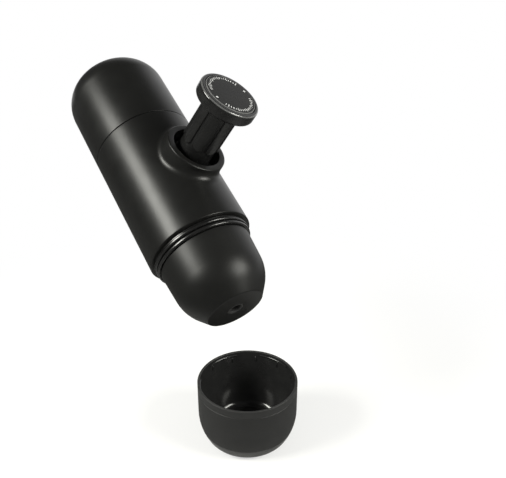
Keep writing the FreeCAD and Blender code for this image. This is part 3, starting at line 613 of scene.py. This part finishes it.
# %% barrel: the rolling round at the foot of the collar
COLLAR_RADIUS, COLLAR_BORE, COLLAR_REACH, BLEND = 17.4, 13.8, 34.9, 4.5
LIP_ROUND, LIP_FLAT, BORE_ROUND = 0.8, 1.2, 0.3
LIP_START = COLLAR_REACH - LIP_ROUND
BLEND_STEPS, FLANK_STEPS, LIP_STEPS, EDGE_STEPS, BORE_STEPS = 10, 5, 6, 4, 6


def blend_rings():
    """Rings over the rolling round, from the barrel to the collar, and how far out they end."""
    y = (COLLAR_RADIUS + BLEND) * np.cos(ANGLES)
    z = (COLLAR_RADIUS + BLEND) * np.sin(ANGLES)
    x = np.sqrt((BARREL_RADIUS + BLEND) ** 2 - y ** 2)
    ball = np.stack([x, y, z], 1)
    to_barrel = -np.stack([x, y, 0 * z], 1) / (BARREL_RADIUS + BLEND)
    to_collar = -np.stack([0 * x, y, z], 1) / (COLLAR_RADIUS + BLEND)
    opening = np.arccos(np.clip((to_barrel * to_collar).sum(1), -1, 1))
    past_lip = np.clip(x - LIP_START, 0, None)
    cut_short = np.arcsin(past_lip / (BLEND + LIP_ROUND))
    rings = []
    for step in range(BLEND_STEPS + 1):
        turn = (opening - cut_short) * step / BLEND_STEPS
        first = np.sin(opening - turn) / np.sin(opening)
        second = np.sin(turn) / np.sin(opening)
        rings.append(ball + BLEND * (to_barrel * first[:, None] + to_collar * second[:, None]))
    lip_middle = (COLLAR_RADIUS + BLEND) - np.sqrt((BLEND + LIP_ROUND) ** 2 - past_lip ** 2)
    return rings, -cut_short, lip_middle


blend, lip_tilt, lip_middle = blend_rings()
print("the round meets the barrel", round(float(blend[0][:, 2].max()), 2), "mm above the axis")

# %% barrel: collar, lip and bore
BORE_WALL = 27.6


def on_collar(reach, radius):
    """A ring round the collar's axis at a reach and radius, either of them per angle."""
    reach = np.broadcast_to(reach, ANGLES.shape)
    return np.stack([reach, radius * np.cos(ANGLES), radius * np.sin(ANGLES)], 1)


def collar_rings():
    """Rings from the end of the round, over the lip and down the bore to the inner wall."""
    start = blend[-1][:, 0]
    rings = [on_collar(start + (LIP_START - start) * k / FLANK_STEPS, COLLAR_RADIUS)
             for k in range(1, FLANK_STEPS)]
    for k in range(LIP_STEPS + 1):
        turn = lip_tilt + (math.pi / 2 - lip_tilt) * k / LIP_STEPS
        rings.append(on_collar(LIP_START + LIP_ROUND * np.sin(turn),
                               lip_middle + LIP_ROUND * np.cos(turn)))
    rings.append(on_collar(COLLAR_REACH, COLLAR_BORE + BORE_ROUND + LIP_FLAT))
    for k in range(EDGE_STEPS + 1):
        turn = math.pi / 2 * k / EDGE_STEPS
        rings.append(on_collar(COLLAR_REACH - BORE_ROUND * (1 - math.cos(turn)),
                               COLLAR_BORE + BORE_ROUND * (1 - math.sin(turn))))
    inner = np.sqrt(BORE_WALL ** 2 - (COLLAR_BORE * np.cos(ANGLES)) ** 2)
    way = inner - COLLAR_REACH + BORE_ROUND
    rings += [on_collar(COLLAR_REACH - BORE_ROUND + way * k / BORE_STEPS, COLLAR_BORE)
              for k in range(1, BORE_STEPS + 1)]
    return rings


bore = collar_rings()
print("collar rings:", len(bore), "of", len(ANGLES), "points")

# %% [markdown]
# The outer wall, the round, the collar with its bore and the inner wall follow each other as rings
# of as many points, so faces between neighbours join them all.  The two ends are turned outlines
# on the angles of the walls' borders, so that merging the doubles closes the body.

# %% barrel: both ends and the neck
FLOOR_TOP, NECK_LOW, NECK_RADIUS, NECK_BORE, NECK_ROUND = 43.8, 26.0, 24.0, 21.6, 0.3


def lifted(rings):
    return [ring + np.array([0, 0, PISTON_HEIGHT]) for ring in rings]


def end_rings(corners):
    """The rings of a turned strip through corners, on the border's angles."""
    turns = [(k / END_STEPS - 0.5) * 2 * math.pi for k in range(END_STEPS)]
    return [[(p.x * math.cos(a), p.x * math.sin(a), p.y) for a in turns] for p in corners]


def corner_arc(across, up, radius, first, last):
    """Points of an arc about a middle, between two angles in degrees."""
    return [Vector((across + radius * math.cos(a), up + radius * math.sin(a)))
            for a in np.linspace(math.radians(first), math.radians(last), 6)]


top_end = (corner_arc(BARREL_RADIUS - HIGH_ROUND, HIGH_END - HIGH_ROUND, HIGH_ROUND, 0, 90)
           + corner_arc(BORE_WALL + HIGH_ROUND, HIGH_END - HIGH_ROUND, HIGH_ROUND, 90, 180)
           + [Vector((BORE_WALL, HIGH_END - HIGH_ROUND))])
low_end = (corner_arc(BARREL_RADIUS - LOW_ROUND, LOW_END + LOW_ROUND, LOW_ROUND, 0, -90)
           + [Vector((NECK_RADIUS, LOW_END))]
           + corner_arc(NECK_RADIUS - NECK_ROUND, NECK_LOW + NECK_ROUND, NECK_ROUND, 0, -90)
           + [Vector((NECK_BORE, NECK_LOW)), Vector((NECK_BORE, FLOOR_TOP)),
              Vector((BORE_WALL, FLOOR_TOP))])
outside = wall_rings(BARREL_RADIUS, blend[0], LOW_END + LOW_ROUND, HIGH_END - HIGH_ROUND)
inside = wall_rings(BORE_WALL, bore[-1], FLOOR_TOP, HIGH_END - HIGH_ROUND)
barrel_rings = outside[::-1] + lifted(blend[1:]) + lifted(bore) + inside[1:]

spots, faces = [], []
for rings in (barrel_rings, end_rings(top_end), end_rings(low_end)):
    count = len(rings[0])
    for row in range(len(rings) - 1):
        low = len(spots) + row * count
        high = low + count
        faces += [(low + k, low + (k + 1) % count, high + (k + 1) % count, high + k)
                  for k in range(count)]
    spots += [tuple(point) for ring in rings for point in ring]
piece("main_body_skin", mesh_of("main_body", spots, faces), MAKER, "barrel", "shell_black",
      ["main_body"])

# %% [markdown]
# Two glossy rings close the joint between the barrel and the head.  Their rounded edges catch a
# thin bright line each, and a fine groove halves the upper one.

# %% trim rings
RING_BORE, RING_ROUND = 24.05, 0.8
UPPER_RADIUS, GROOVE, GROOVE_HALF, GROOVE_DEPTH = 28.1, 39.35, 0.2, 0.35


def trim_ring(name, radius, low, high, groove=()):
    turned(name, MAKER, [(RING_BORE, low), (radius, low, RING_ROUND), *groove,
                         (radius, high, RING_ROUND), (RING_BORE, high)],
           "barrel", "gloss_black")


trim_ring("trim_ring_upper", UPPER_RADIUS, 37.9, LOW_END,
          [(UPPER_RADIUS, GROOVE - GROOVE_HALF), (UPPER_RADIUS - GROOVE_DEPTH, GROOVE),
           (UPPER_RADIUS, GROOVE + GROOVE_HALF)])
trim_ring("trim_ring_lower", 27.8, 35.45, 37.35)

# %% [markdown]
# The head is a rounded cone with the outlet in the middle of its flat face.  Inside it holds the
# filter basket on a ledge and funnels the coffee to the spout.

# %% outlet head
HEAD_RADIUS, HEAD_BORE, BASKET_BORE, FUNNEL_RADIUS, SPOUT_BORE = 26.4, 24.3, 22.4, 17.6, 4.6
LEDGE, BASKET_LOW = 25.6, 12.7
turned("outlet_head", MAKER,
       [(SPOUT_BORE, 0, 0.2), (16.0, 0, 1.0), (25.0, 11.4, 24.0), (HEAD_RADIUS, HEAD_RIM, 0.3),
        (HEAD_BORE, HEAD_RIM, 0.3), (HEAD_BORE, LEDGE), (BASKET_BORE, LEDGE),
        (BASKET_BORE, BASKET_LOW), (FUNNEL_RADIUS, BASKET_LOW), (FUNNEL_RADIUS, 9.5),
        (SPOUT_BORE, 3.0)],
       "head", "shell_black")

# %% [markdown]
# Pieces that follow a rule are grown with Geometry Nodes.  `Grower` starts a tree with named
# sizes, ends it with Realize Instances and Set Material, and bakes the result into a plain mesh,
# because only a mesh can be exported.

# %% growing pieces with Geometry Nodes
class Grower(Board):
    """A Geometry Nodes tree with named sizes."""

    def __init__(self, name, sizes):
        super().__init__(bpy.data.node_groups.new(name, "GeometryNodeTree"))
        self.sizes = sizes
        for label, value in sizes.items():
            kind = "NodeSocketInt" if isinstance(value, int) else "NodeSocketFloat"
            self.tree.interface.new_socket(label, in_out="INPUT", socket_type=kind)
        self.tree.interface.new_socket("Result", in_out="OUTPUT", socket_type="NodeSocketGeometry")
        self.entry = self.tree.nodes.new("NodeGroupInput")

    def __getitem__(self, label):
        """One of the named sizes."""
        return Wire(self, self.entry.outputs[label])

    def node(self, kind, inputs=None, **settings):
        """A Geometry node, named without its prefix."""
        return self.put("GeometryNode" + kind, inputs, **settings)

    def seat(self, geometry, place):
        """Move geometry to its place with Set Position."""
        return self.node("SetPosition", {"Geometry": geometry, "Position": place})

    def outward(self):
        """For each point, the rotation that turns X away from the origin."""
        return self.put("FunctionNodeAlignRotationToVector",
                        {"Vector": self.node("InputPosition")}, axis="X")

    def copies(self, points, instance, **more):
        """One instance on each point."""
        return self.node("InstanceOnPoints", {"Points": points, "Instance": instance, **more})

    def join(self, *parts):
        joined = self.node("JoinGeometry")
        for part in parts:
            self.tree.links.new(part.socket, joined.socket.node.inputs[0])
        return joined

    def rod(self, sides, radius, length, up=0.0):
        """An upright cylinder or prism with its middle that far up."""
        upright = self.node("MeshCylinder", {"Vertices": sides, "Radius": radius, "Depth": length})
        return self.node("Transform", {"Geometry": upright, "Translation": (0.0, 0.0, up)})

    def wire_along(self, curve, thickness, sides):
        """A round wire along a curve, closed at its ends."""
        profile = self.node("CurvePrimitiveCircle", {"Resolution": sides,
                                                     "Radius": thickness * 0.5})
        return self.node("CurveToMesh", {"Curve": curve, "Profile Curve": profile,
                                         "Fill Caps": True})

    def bake(self, geometry, paint):
        """Finish the tree and return one plain mesh."""
        whole = self.node("RealizeInstances", {"Geometry": geometry})
        painted = self.node("SetMaterial", {"Geometry": whole, "Material": paint})
        self.put("NodeGroupOutput", {"Result": painted})
        seed = bpy.data.objects.new(self.tree.name + "_seed", bpy.data.meshes.new("seed"))
        scene.collection.objects.link(seed)
        modifier = seed.modifiers.new("grow", "NODES")
        modifier.node_group = self.tree
        for item in self.tree.interface.items_tree:
            if item.in_out == "INPUT":
                modifier[item.identifier] = self.sizes[item.name]
        graph = bpy.context.evaluated_depsgraph_get()
        mesh = bpy.data.meshes.new_from_object(seed.evaluated_get(graph), depsgraph=graph)
        mesh.name = self.tree.name
        bpy.data.objects.remove(seed)
        print(self.tree.name, "grew", len(mesh.polygons), "faces from", self.sizes)
        return mesh

# %% [markdown]
# The sleeve is the tube between the collar and the knob.  Broad raised lobes with narrow grooves
# between them run along it and end in round corners.  A flat grid is wrapped into a tube, and
# each point is pushed out by how far it lies inside the nearest lobe's outline.

# %% lobed sleeve
SLEEVE_LOW, SLEEVE_TOP, LOBE_LOW, SLEEVE_BORE = 23.0, 65.15, 39.0, 8.6

tree = Grower("lobed_sleeve", {"Lobes": 8, "Lobe Share": 0.82, "Groove Radius": 9.8,
                               "Lobe Radius": 10.6, "Corner": 2.4, "Edge Softness": 0.55,
                               "Columns": 321, "Rows": 121})
grid = tree.node("MeshGrid", {"Size X": 1.0, "Size Y": 1.0, "Vertices X": tree["Columns"],
                              "Vertices Y": tree["Rows"]})
flat_x, flat_y, _ = tree.parts(tree.node("InputPosition"))
turn = flat_x * (2 * math.pi)
height = (flat_y + 0.5) * (SLEEVE_TOP - SLEEVE_LOW) + SLEEVE_LOW
lobe_place = tree.math("FRACT", flat_x * tree["Lobes"] + 0.5) - 0.5
lobe_pitch = tree["Lobe Radius"] * (2 * math.pi) / tree["Lobes"]
half_wide = lobe_pitch * tree["Lobe Share"] * 0.5
beside = abs(lobe_place * lobe_pitch) - half_wide + tree["Corner"]
below = LOBE_LOW + tree["Corner"] - height
corner_reach = (tree.math("MAXIMUM", beside, 0.0) ** 2
                + tree.math("MAXIMUM", below, 0.0) ** 2) ** 0.5
flat_reach = tree.math("MINIMUM", tree.math("MAXIMUM", beside, below), 0.0)
outside_lobe = corner_reach + flat_reach - tree["Corner"]
rise = tree.soft_step(outside_lobe * -1.0, 0.0, tree["Edge Softness"])
radius = tree["Groove Radius"] + rise * (tree["Lobe Radius"] - tree["Groove Radius"])
tube = tree.seat(grid, tree.vector(radius * tree.math("COSINE", turn),
                                   radius * tree.math("SINE", turn), height))
sleeve_mesh = tree.bake(tube, piston_black)

# %% [markdown]
# The grown tube is a skin without thickness.  Its two open rims are drawn in to the bore and
# bridged, which makes it a closed wall.

# %% close the sleeve
def close_tube(mesh, bore):
    shape = bmesh.new()
    shape.from_mesh(mesh)
    bmesh.ops.remove_doubles(shape, verts=shape.verts, dist=1e-4)
    rims = [edge for edge in shape.edges if edge.is_boundary]
    grown = bmesh.ops.extrude_edge_only(shape, edges=rims)["geom"]
    for vert in (item for item in grown if isinstance(item, bmesh.types.BMVert)):
        reach = math.hypot(vert.co.x, vert.co.y)
        vert.co.x *= bore / reach
        vert.co.y *= bore / reach
    rims = [edge for edge in shape.edges if edge.is_boundary]
    bmesh.ops.bridge_loops(shape, edges=rims)
    print("open edges left on the tube:", sum(edge.is_boundary for edge in shape.edges))
    shape.to_mesh(mesh)
    shape.free()


close_tube(sleeve_mesh, SLEEVE_BORE)
piece("piston_sleeve_skin", sleeve_mesh, PISTON, "knob", "piston_black", ["piston_sleeve"])

# %% [markdown]
# The knob is a thick disc with a rounded rim and a shallow pocket; the cap lies in the pocket
# with a fine gap round it, which shows as a dark line.

# %% knob and cap
KNOB_LOW, POCKET_FLOOR, SCREW_SEAT = 65.2, 70.65, 68.35
SCREW_BORE, SCREW_POCKET = 1.3, 3.2
CAP_TOP, INK = 72.9, 0.03
turned("piston_knob", PISTON,
       [(SCREW_BORE, KNOB_LOW), (KNOB_RADIUS, KNOB_LOW, 2.0), (KNOB_RADIUS, KNOB_TOP, 1.2),
        (POCKET_RADIUS, KNOB_TOP, 0.2), (POCKET_RADIUS, POCKET_FLOOR),
        (SCREW_POCKET, POCKET_FLOOR), (SCREW_POCKET, SCREW_SEAT), (SCREW_BORE, SCREW_SEAT)],
       "knob", "piston_black")
turned("knob_cap", PISTON,
       [(0, POCKET_FLOOR), (CAP_RADIUS, POCKET_FLOOR), (CAP_RADIUS, CAP_TOP - INK, 0.4),
        (0, CAP_TOP - INK)],
       "knob", "cap_grey")

# %% [markdown]
# A plain scale is printed round the cap: ticks in two arcs, every fourth one longer, with a dot
# in each gap.  One bar is instanced on the points of a circle; points in the gaps are deleted by
# their number, and the length of an instance comes from its number too.

# %% printed scale on the cap
GAP_MIDDLE, GAP_HALF, LONGER, SCALE_TURN = 6.0, 3.5, 0.6, 108
tree = Grower("cap_scale", {"Ticks": 52, "Scale Radius": 12.0, "Tick Length": 1.25,
                            "Tick Width": 0.42, "Dot Radius": 0.62})
radius = tree["Scale Radius"]
circle = tree.node("MeshCircle", {"Vertices": tree["Ticks"], "Radius": radius})
number = tree.node("InputIndex")
in_gap = abs((number + GAP_MIDDLE) % (tree["Ticks"] * 0.5) - GAP_MIDDLE) < GAP_HALF
ticks_only = tree.node("DeleteGeometry", {"Geometry": circle, "Selection": in_gap})
fourth = number % 4.0 < 0.5
bar = tree.node("MeshCube", {"Size": tree.vector(tree["Tick Length"], tree["Tick Width"], INK)})
bars = tree.copies(ticks_only, bar, Rotation=tree.outward(),
                   Scale=tree.vector(1.0 + fourth * LONGER, 1.0, 1.0))
two = tree.node("MeshLine", {"Count": 2,
                             "Start Location": tree.vector(radius * -1.0, 0.0, 0.0),
                             "Offset": tree.vector(radius * 2.0, 0.0, 0.0)})
dots = tree.copies(two, tree.rod(20, tree["Dot Radius"], INK))
piece("cap_scale", tree.bake(tree.join(bars, dots), cap_ink),
      PISTON @ raised(CAP_TOP - INK / 2) @ turned_by(SCALE_TURN, "Z"), "knob", "cap_grey")

# %% [markdown]
# The cup is turned too.  Its outline has a flat foot with a fine ring, a round bottom, a band line
# under the rim and a rounded lip.  Faces inside the lip get the shiny finish.

# %% cup
CUP_RADIUS, CUP_HEIGHT, CUP_WALL, CUP_FLOOR = 29.95, 40.2, 1.5, 2.2
FOOT_RING, FOOT_HALF, BAND_HALF, LIP_HEIGHT = 16.5, 0.4, 0.25, 0.6
cup_bore = CUP_RADIUS - CUP_WALL
cup_corners = [(0, 0), (FOOT_RING - FOOT_HALF, 0), (FOOT_RING, FOOT_HALF),
               (FOOT_RING + FOOT_HALF, 0), (23.8, 0, 7.6), (CUP_RADIUS, 11.7, 31.0),
               (CUP_RADIUS, CUP_BAND_LINE - BAND_HALF, 0.1),
               (CUP_RADIUS - BAND_HALF, CUP_BAND_LINE, 0.12),
               (CUP_RADIUS, CUP_BAND_LINE + BAND_HALF, 0.1), (CUP_RADIUS, CUP_HEIGHT, 0.5),
               (cup_bore, CUP_HEIGHT, 0.5), (cup_bore, 12.45, 29.5), (22.3, CUP_FLOOR, 6.1),
               (0, CUP_FLOOR)]
cup = turned("cup", TABLE, cup_corners, "cup", "cup_black")
cup.data.materials.append(cup_gloss)
for face in cup.data.polygons:
    inward = face.normal.x * face.center.x + face.normal.y * face.center.y < -1e-9
    reach = math.hypot(face.center.x, face.center.y)
    over_floor = face.center.z > 0.9 * CUP_FLOOR * MM and reach < cup_bore * MM
    lip = face.center.z > (CUP_HEIGHT - LIP_HEIGHT) * MM
    face.material_index = int((inward or over_floor) and not lip)
print("shiny faces in the cup:", sum(face.material_index for face in cup.data.polygons))

# %% [markdown]
# Five beads run round the inside of the rim, and twelve short ribs stand under them, to grip the
# head when the cup is carried on it.  A bead is a round profile swept along an arc, and its
# thickness falls to nothing at both ends.

# %% beads inside the rim
BEAD_DROP, RIB_DROP, RIB_TURN = 2.4, 5.7, 20
tree = Grower("cup_beads", {"Beads": 5, "Bead Share": 0.58, "First Angle": math.radians(32.0),
                            "Wall Radius": cup_bore, "Thickness": 1.2})
spacing = 2 * math.pi / tree["Beads"]
arc = tree.node("CurveArc", {"Resolution": 64, "Radius": tree["Wall Radius"],
                             "Start Angle": tree["First Angle"],
                             "Sweep Angle": spacing * tree["Bead Share"]})
from_middle = abs(tree.node("SplineParameter") * 2.0 - 1.0)
fall = tree.math("MAXIMUM", 1.0 - from_middle ** 12.0, 0.001) ** 0.5
tapered = tree.node("SetCurveRadius", {"Curve": arc, "Radius": fall})
centres = tree.node("MeshLine", {"Count": tree["Beads"], "Offset": (0.0, 0.0, 0.0)})
heading = tree.vector(0.0, 0.0, tree.node("InputIndex") * spacing)
beads = tree.copies(centres, tree.wire_along(tapered, tree["Thickness"], 14),
                    Rotation=tree.put("FunctionNodeEulerToRotation", {0: heading}))
piece("cup_beads", tree.bake(beads, cup_gloss), TABLE @ raised(CUP_HEIGHT - BEAD_DROP),
      "cup", "cup_black")

# %% ribs inside the cup
tree = Grower("cup_ribs", {"Ribs": 12, "Wall Radius": cup_bore, "Rib Width": 1.2,
                           "Rib Depth": 0.6, "Rib Height": 4.2})
ring = tree.node("MeshCircle", {"Vertices": tree["Ribs"],
                                "Radius": tree["Wall Radius"] + tree["Rib Depth"] * 0.5})
rod = tree.node("MeshUVSphere", {"Segments": 20, "Rings": 14, "Radius": 0.5})
rods = tree.copies(ring, rod, Rotation=tree.outward(),
                   Scale=tree.vector(tree["Rib Depth"] * 3.0, tree["Rib Width"],
                                     tree["Rib Height"]))
piece("cup_ribs", tree.bake(rods, cup_gloss),
      TABLE @ raised(CUP_HEIGHT - RIB_DROP) @ turned_by(RIB_TURN, "Z"), "cup", "cup_black")

# %% [markdown]
# A spring is a wire along a spiral.  The return spring sits round the pump cylinder and pushes
# the knob out; the small one closes the outlet valve.

# %% springs
def spring(name, group, radius, wire, low, high, turns):
    """A coil of wire round the group's axis, from low up to high."""
    tree = Grower(name, {"Radius": radius, "Wire": wire, "Length": high - low - wire,
                         "Turns": float(turns), "Points per Turn": 40})
    spiral = tree.node("CurveSpiral", {"Resolution": tree["Points per Turn"],
                                       "Rotations": tree["Turns"],
                                       "Start Radius": tree["Radius"],
                                       "End Radius": tree["Radius"],
                                       "Height": tree["Length"]})
    mesh = tree.bake(tree.wire_along(spiral, tree["Wire"], 16), steel)
    coil = piece(name + "_coil", mesh, group @ raised(low + wire / 2), "barrel", "steel", [name])
    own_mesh(coil)


spring("return_spring", PISTON,
       radius=9.4, wire=1.0, low=-13.7, high=22.7, turns=5)
spring("outlet_spring", DUCT,
       radius=1.8, wire=0.4, low=49.85, high=62.3, turns=7)

# %% [markdown]
# Four screws hold the valve deck at the bottom of the water tank.  A head with a six-sided
# socket is cut once with Mesh Boolean and instanced on four points.

# %% deck screws
DECK_TOP = 106.8
HEAD_HEIGHT, SHANK_LENGTH, SOCKET_DEPTH = 2.0, 14.0, 2.4
tree = Grower("deck_screws", {"Circle": 20.5, "First Angle": math.radians(60.0),
                              "Head Radius": 2.8, "Head Height": HEAD_HEIGHT,
                              "Socket": 1.35, "Shank Radius": 1.4,
                              "Shank Length": SHANK_LENGTH})
head = tree.rod(40, tree["Head Radius"], tree["Head Height"])
socket_hole = tree.rod(6, tree["Socket"], SOCKET_DEPTH, HEAD_HEIGHT / 2)
cut_head = tree.node("MeshBoolean", {"Mesh 1": head, "Mesh 2": socket_hole},
                     operation="DIFFERENCE")
shank = tree.rod(32, tree["Shank Radius"], tree["Shank Length"], -(HEAD_HEIGHT + SHANK_LENGTH) / 2)
four = tree.node("MeshLine", {"Count": 4})
number = tree.node("InputIndex")
side_x = 1.0 - (number < 1.5) * 2.0
side_y = 1.0 - (number % 2.0 < 0.5) * 2.0
near = tree["Circle"] * tree.math("COSINE", tree["First Angle"])
far = tree["Circle"] * tree.math("SINE", tree["First Angle"])
corners_of_deck = tree.seat(four, tree.vector(side_x * near, side_y * far, 0.0))
screws = tree.copies(corners_of_deck, tree.join(cut_head, shank))
piece("deck_screw_set", tree.bake(screws, steel), MAKER @ raised(DECK_TOP + HEAD_HEIGHT / 2),
      "barrel", "steel", ["deck_screws"])

# %% [markdown]
# The other inner solids already have the right shape.  They keep their meshes and get the
# finishes of their materials.

# %% finishes of the solids that stay
kept = 0
for row in frame["record"]["subparts"]:
    solid = frame["nodes"][row["node"]]
    solid.data.materials.clear()
    solid.data.materials.append(FINISH_OF_SLOT[row["material_slot"]])
    kept += not solid.hide_render
print("solids that stay in view:", kept)

# %% [markdown]
# The stage is a wide pale floor.  Near the cup it is plain paper that takes the shadow; farther
# out it fades to pure white for camera and transmission rays, so that the floor's edge never
# shows.  Glossy rays see grey paper under the maker, black cloth round it, and white again
# towards the sweep that stands behind on the right, which keeps the plastic's near edge dark.
# Distances are millimetres from the cup's middle.

# %% floor
FLOOR_REACH = 6.0
SWEEP_WAY = (0.36, 0.93)
NEAR_WHITE, FADE, SWEEP_RISE = 0.52, (60.0, 330.0), (250.0, 800.0)
CLOTH_EDGE, CLOTH_INSIDE, CLOTH_OUTSIDE = (50.0, 170.0), 0.34, 0.09


def stage_floor(far):
    mesh = mesh_of("floor", [(-far, -far, 0), (far, -far, 0), (far, far, 0), (-far, far, 0)],
                   [(0, 1, 2, 3)])
    floor = bpy.data.objects.new("floor", mesh)
    scene.collection.objects.link(floor)
    material = bpy.data.materials.new("pale_floor")
    board = FinishBoard(material)
    x, y, _ = board.parts(board.here())
    direct, mirrored = board.rays()
    distance = (x * x + y * y) ** 0.5
    far_share = NEAR_WHITE + board.soft_step(distance, *FADE) * (1.0 - NEAR_WHITE)
    sweep_share = board.soft_step(x * SWEEP_WAY[0] + y * SWEEP_WAY[1], *SWEEP_RISE)
    white_share = direct * far_share + mirrored * sweep_share
    cloth = board.blend(board.soft_step(distance, *CLOTH_EDGE), CLOTH_INSIDE, CLOTH_OUTSIDE)
    tint = board.blend(mirrored, (0.82, 0.82, 0.81), cloth)
    paper = board.put("ShaderNodeBsdfDiffuse", {"Color": tint})
    white = board.put("ShaderNodeEmission")
    both = board.put("ShaderNodeMixShader", {0: white_share, 1: paper, 2: white})
    board.put("ShaderNodeOutputMaterial", {"Surface": both})
    mesh.materials.append(material)


stage_floor(FLOOR_REACH)
print("the floor reaches", FLOOR_REACH, "m each way")

# %% [markdown]
# Black plastic is lit by what it mirrors.  Camera rays see a white world; glossy rays see a white
# sweep low behind the maker and a dim room in front of it, which draws a light line down its far
# edge.  Soft light is an even fill.

# %% world
SWEEP_SIDE, SWEEP_TOP = (0.55, 0.95), (0.50, 0.85)


def studio_world(fill, room, sweep):
    world = bpy.data.worlds.new("studio")
    scene.world = world
    board = FinishBoard(world)
    right, back, up = board.parts(board.put("ShaderNodeTexCoord", out="Generated"))
    facing = right * SWEEP_WAY[0] + back * SWEEP_WAY[1]
    behind = board.soft_step(facing, *SWEEP_SIDE) * (1.0 - board.soft_step(up, *SWEEP_TOP))
    direct, mirrored = board.rays()
    shade = board.blend(mirrored, fill, board.blend(behind, room, sweep))
    shade = board.blend(direct, shade, 1.0)
    sky = board.put("ShaderNodeBackground", {"Color": shade})
    board.put("ShaderNodeOutputWorld", {"Surface": sky})


studio_world(fill=0.36, room=0.07, sweep=1.0)
print("the world is ready")

# %% [markdown]
# A softbox stands high on the left: its place decides where the highlight runs, and its size how
# wide that is.  A second box on the right puts a round light on the head and a bright line on the
# knob's edge.

# %% lamps
BARREL_MIDDLE = MAKER @ Vector((0, 0, 95))
LAMP_COLOUR = (1.0, 1.0, 0.93)


def softbox(name, place, along, length, height, power):
    """A soft lamp at a place that faces the barrel, with its length along a direction."""
    lamp = bpy.data.lights.new(name, "AREA")
    lamp.shape = "RECTANGLE"
    lamp.size, lamp.size_y, lamp.energy = length, height, power
    lamp.color = LAMP_COLOUR
    away = (Vector(place) - BARREL_MIDDLE).normalized()
    across = Vector(along)
    across = (across - away * across.dot(away)).normalized()
    turn = Matrix((across, away.cross(across), away)).transposed()
    box = bpy.data.objects.new(name, lamp)
    box.matrix_world = Matrix.Translation(place) @ turn.to_4x4()
    scene.collection.objects.link(box)
    print(name, "at", place, "gives", power, "watts")


softbox("key_left", (-0.674, -0.218, 0.592), (0.10, 0.95, 0.30), 0.42, 0.27, 10.3)
softbox("round_right", (0.606, -0.235, 0.51), (0.0, 1.0, 0.0), 0.36, 0.36, 7.2)
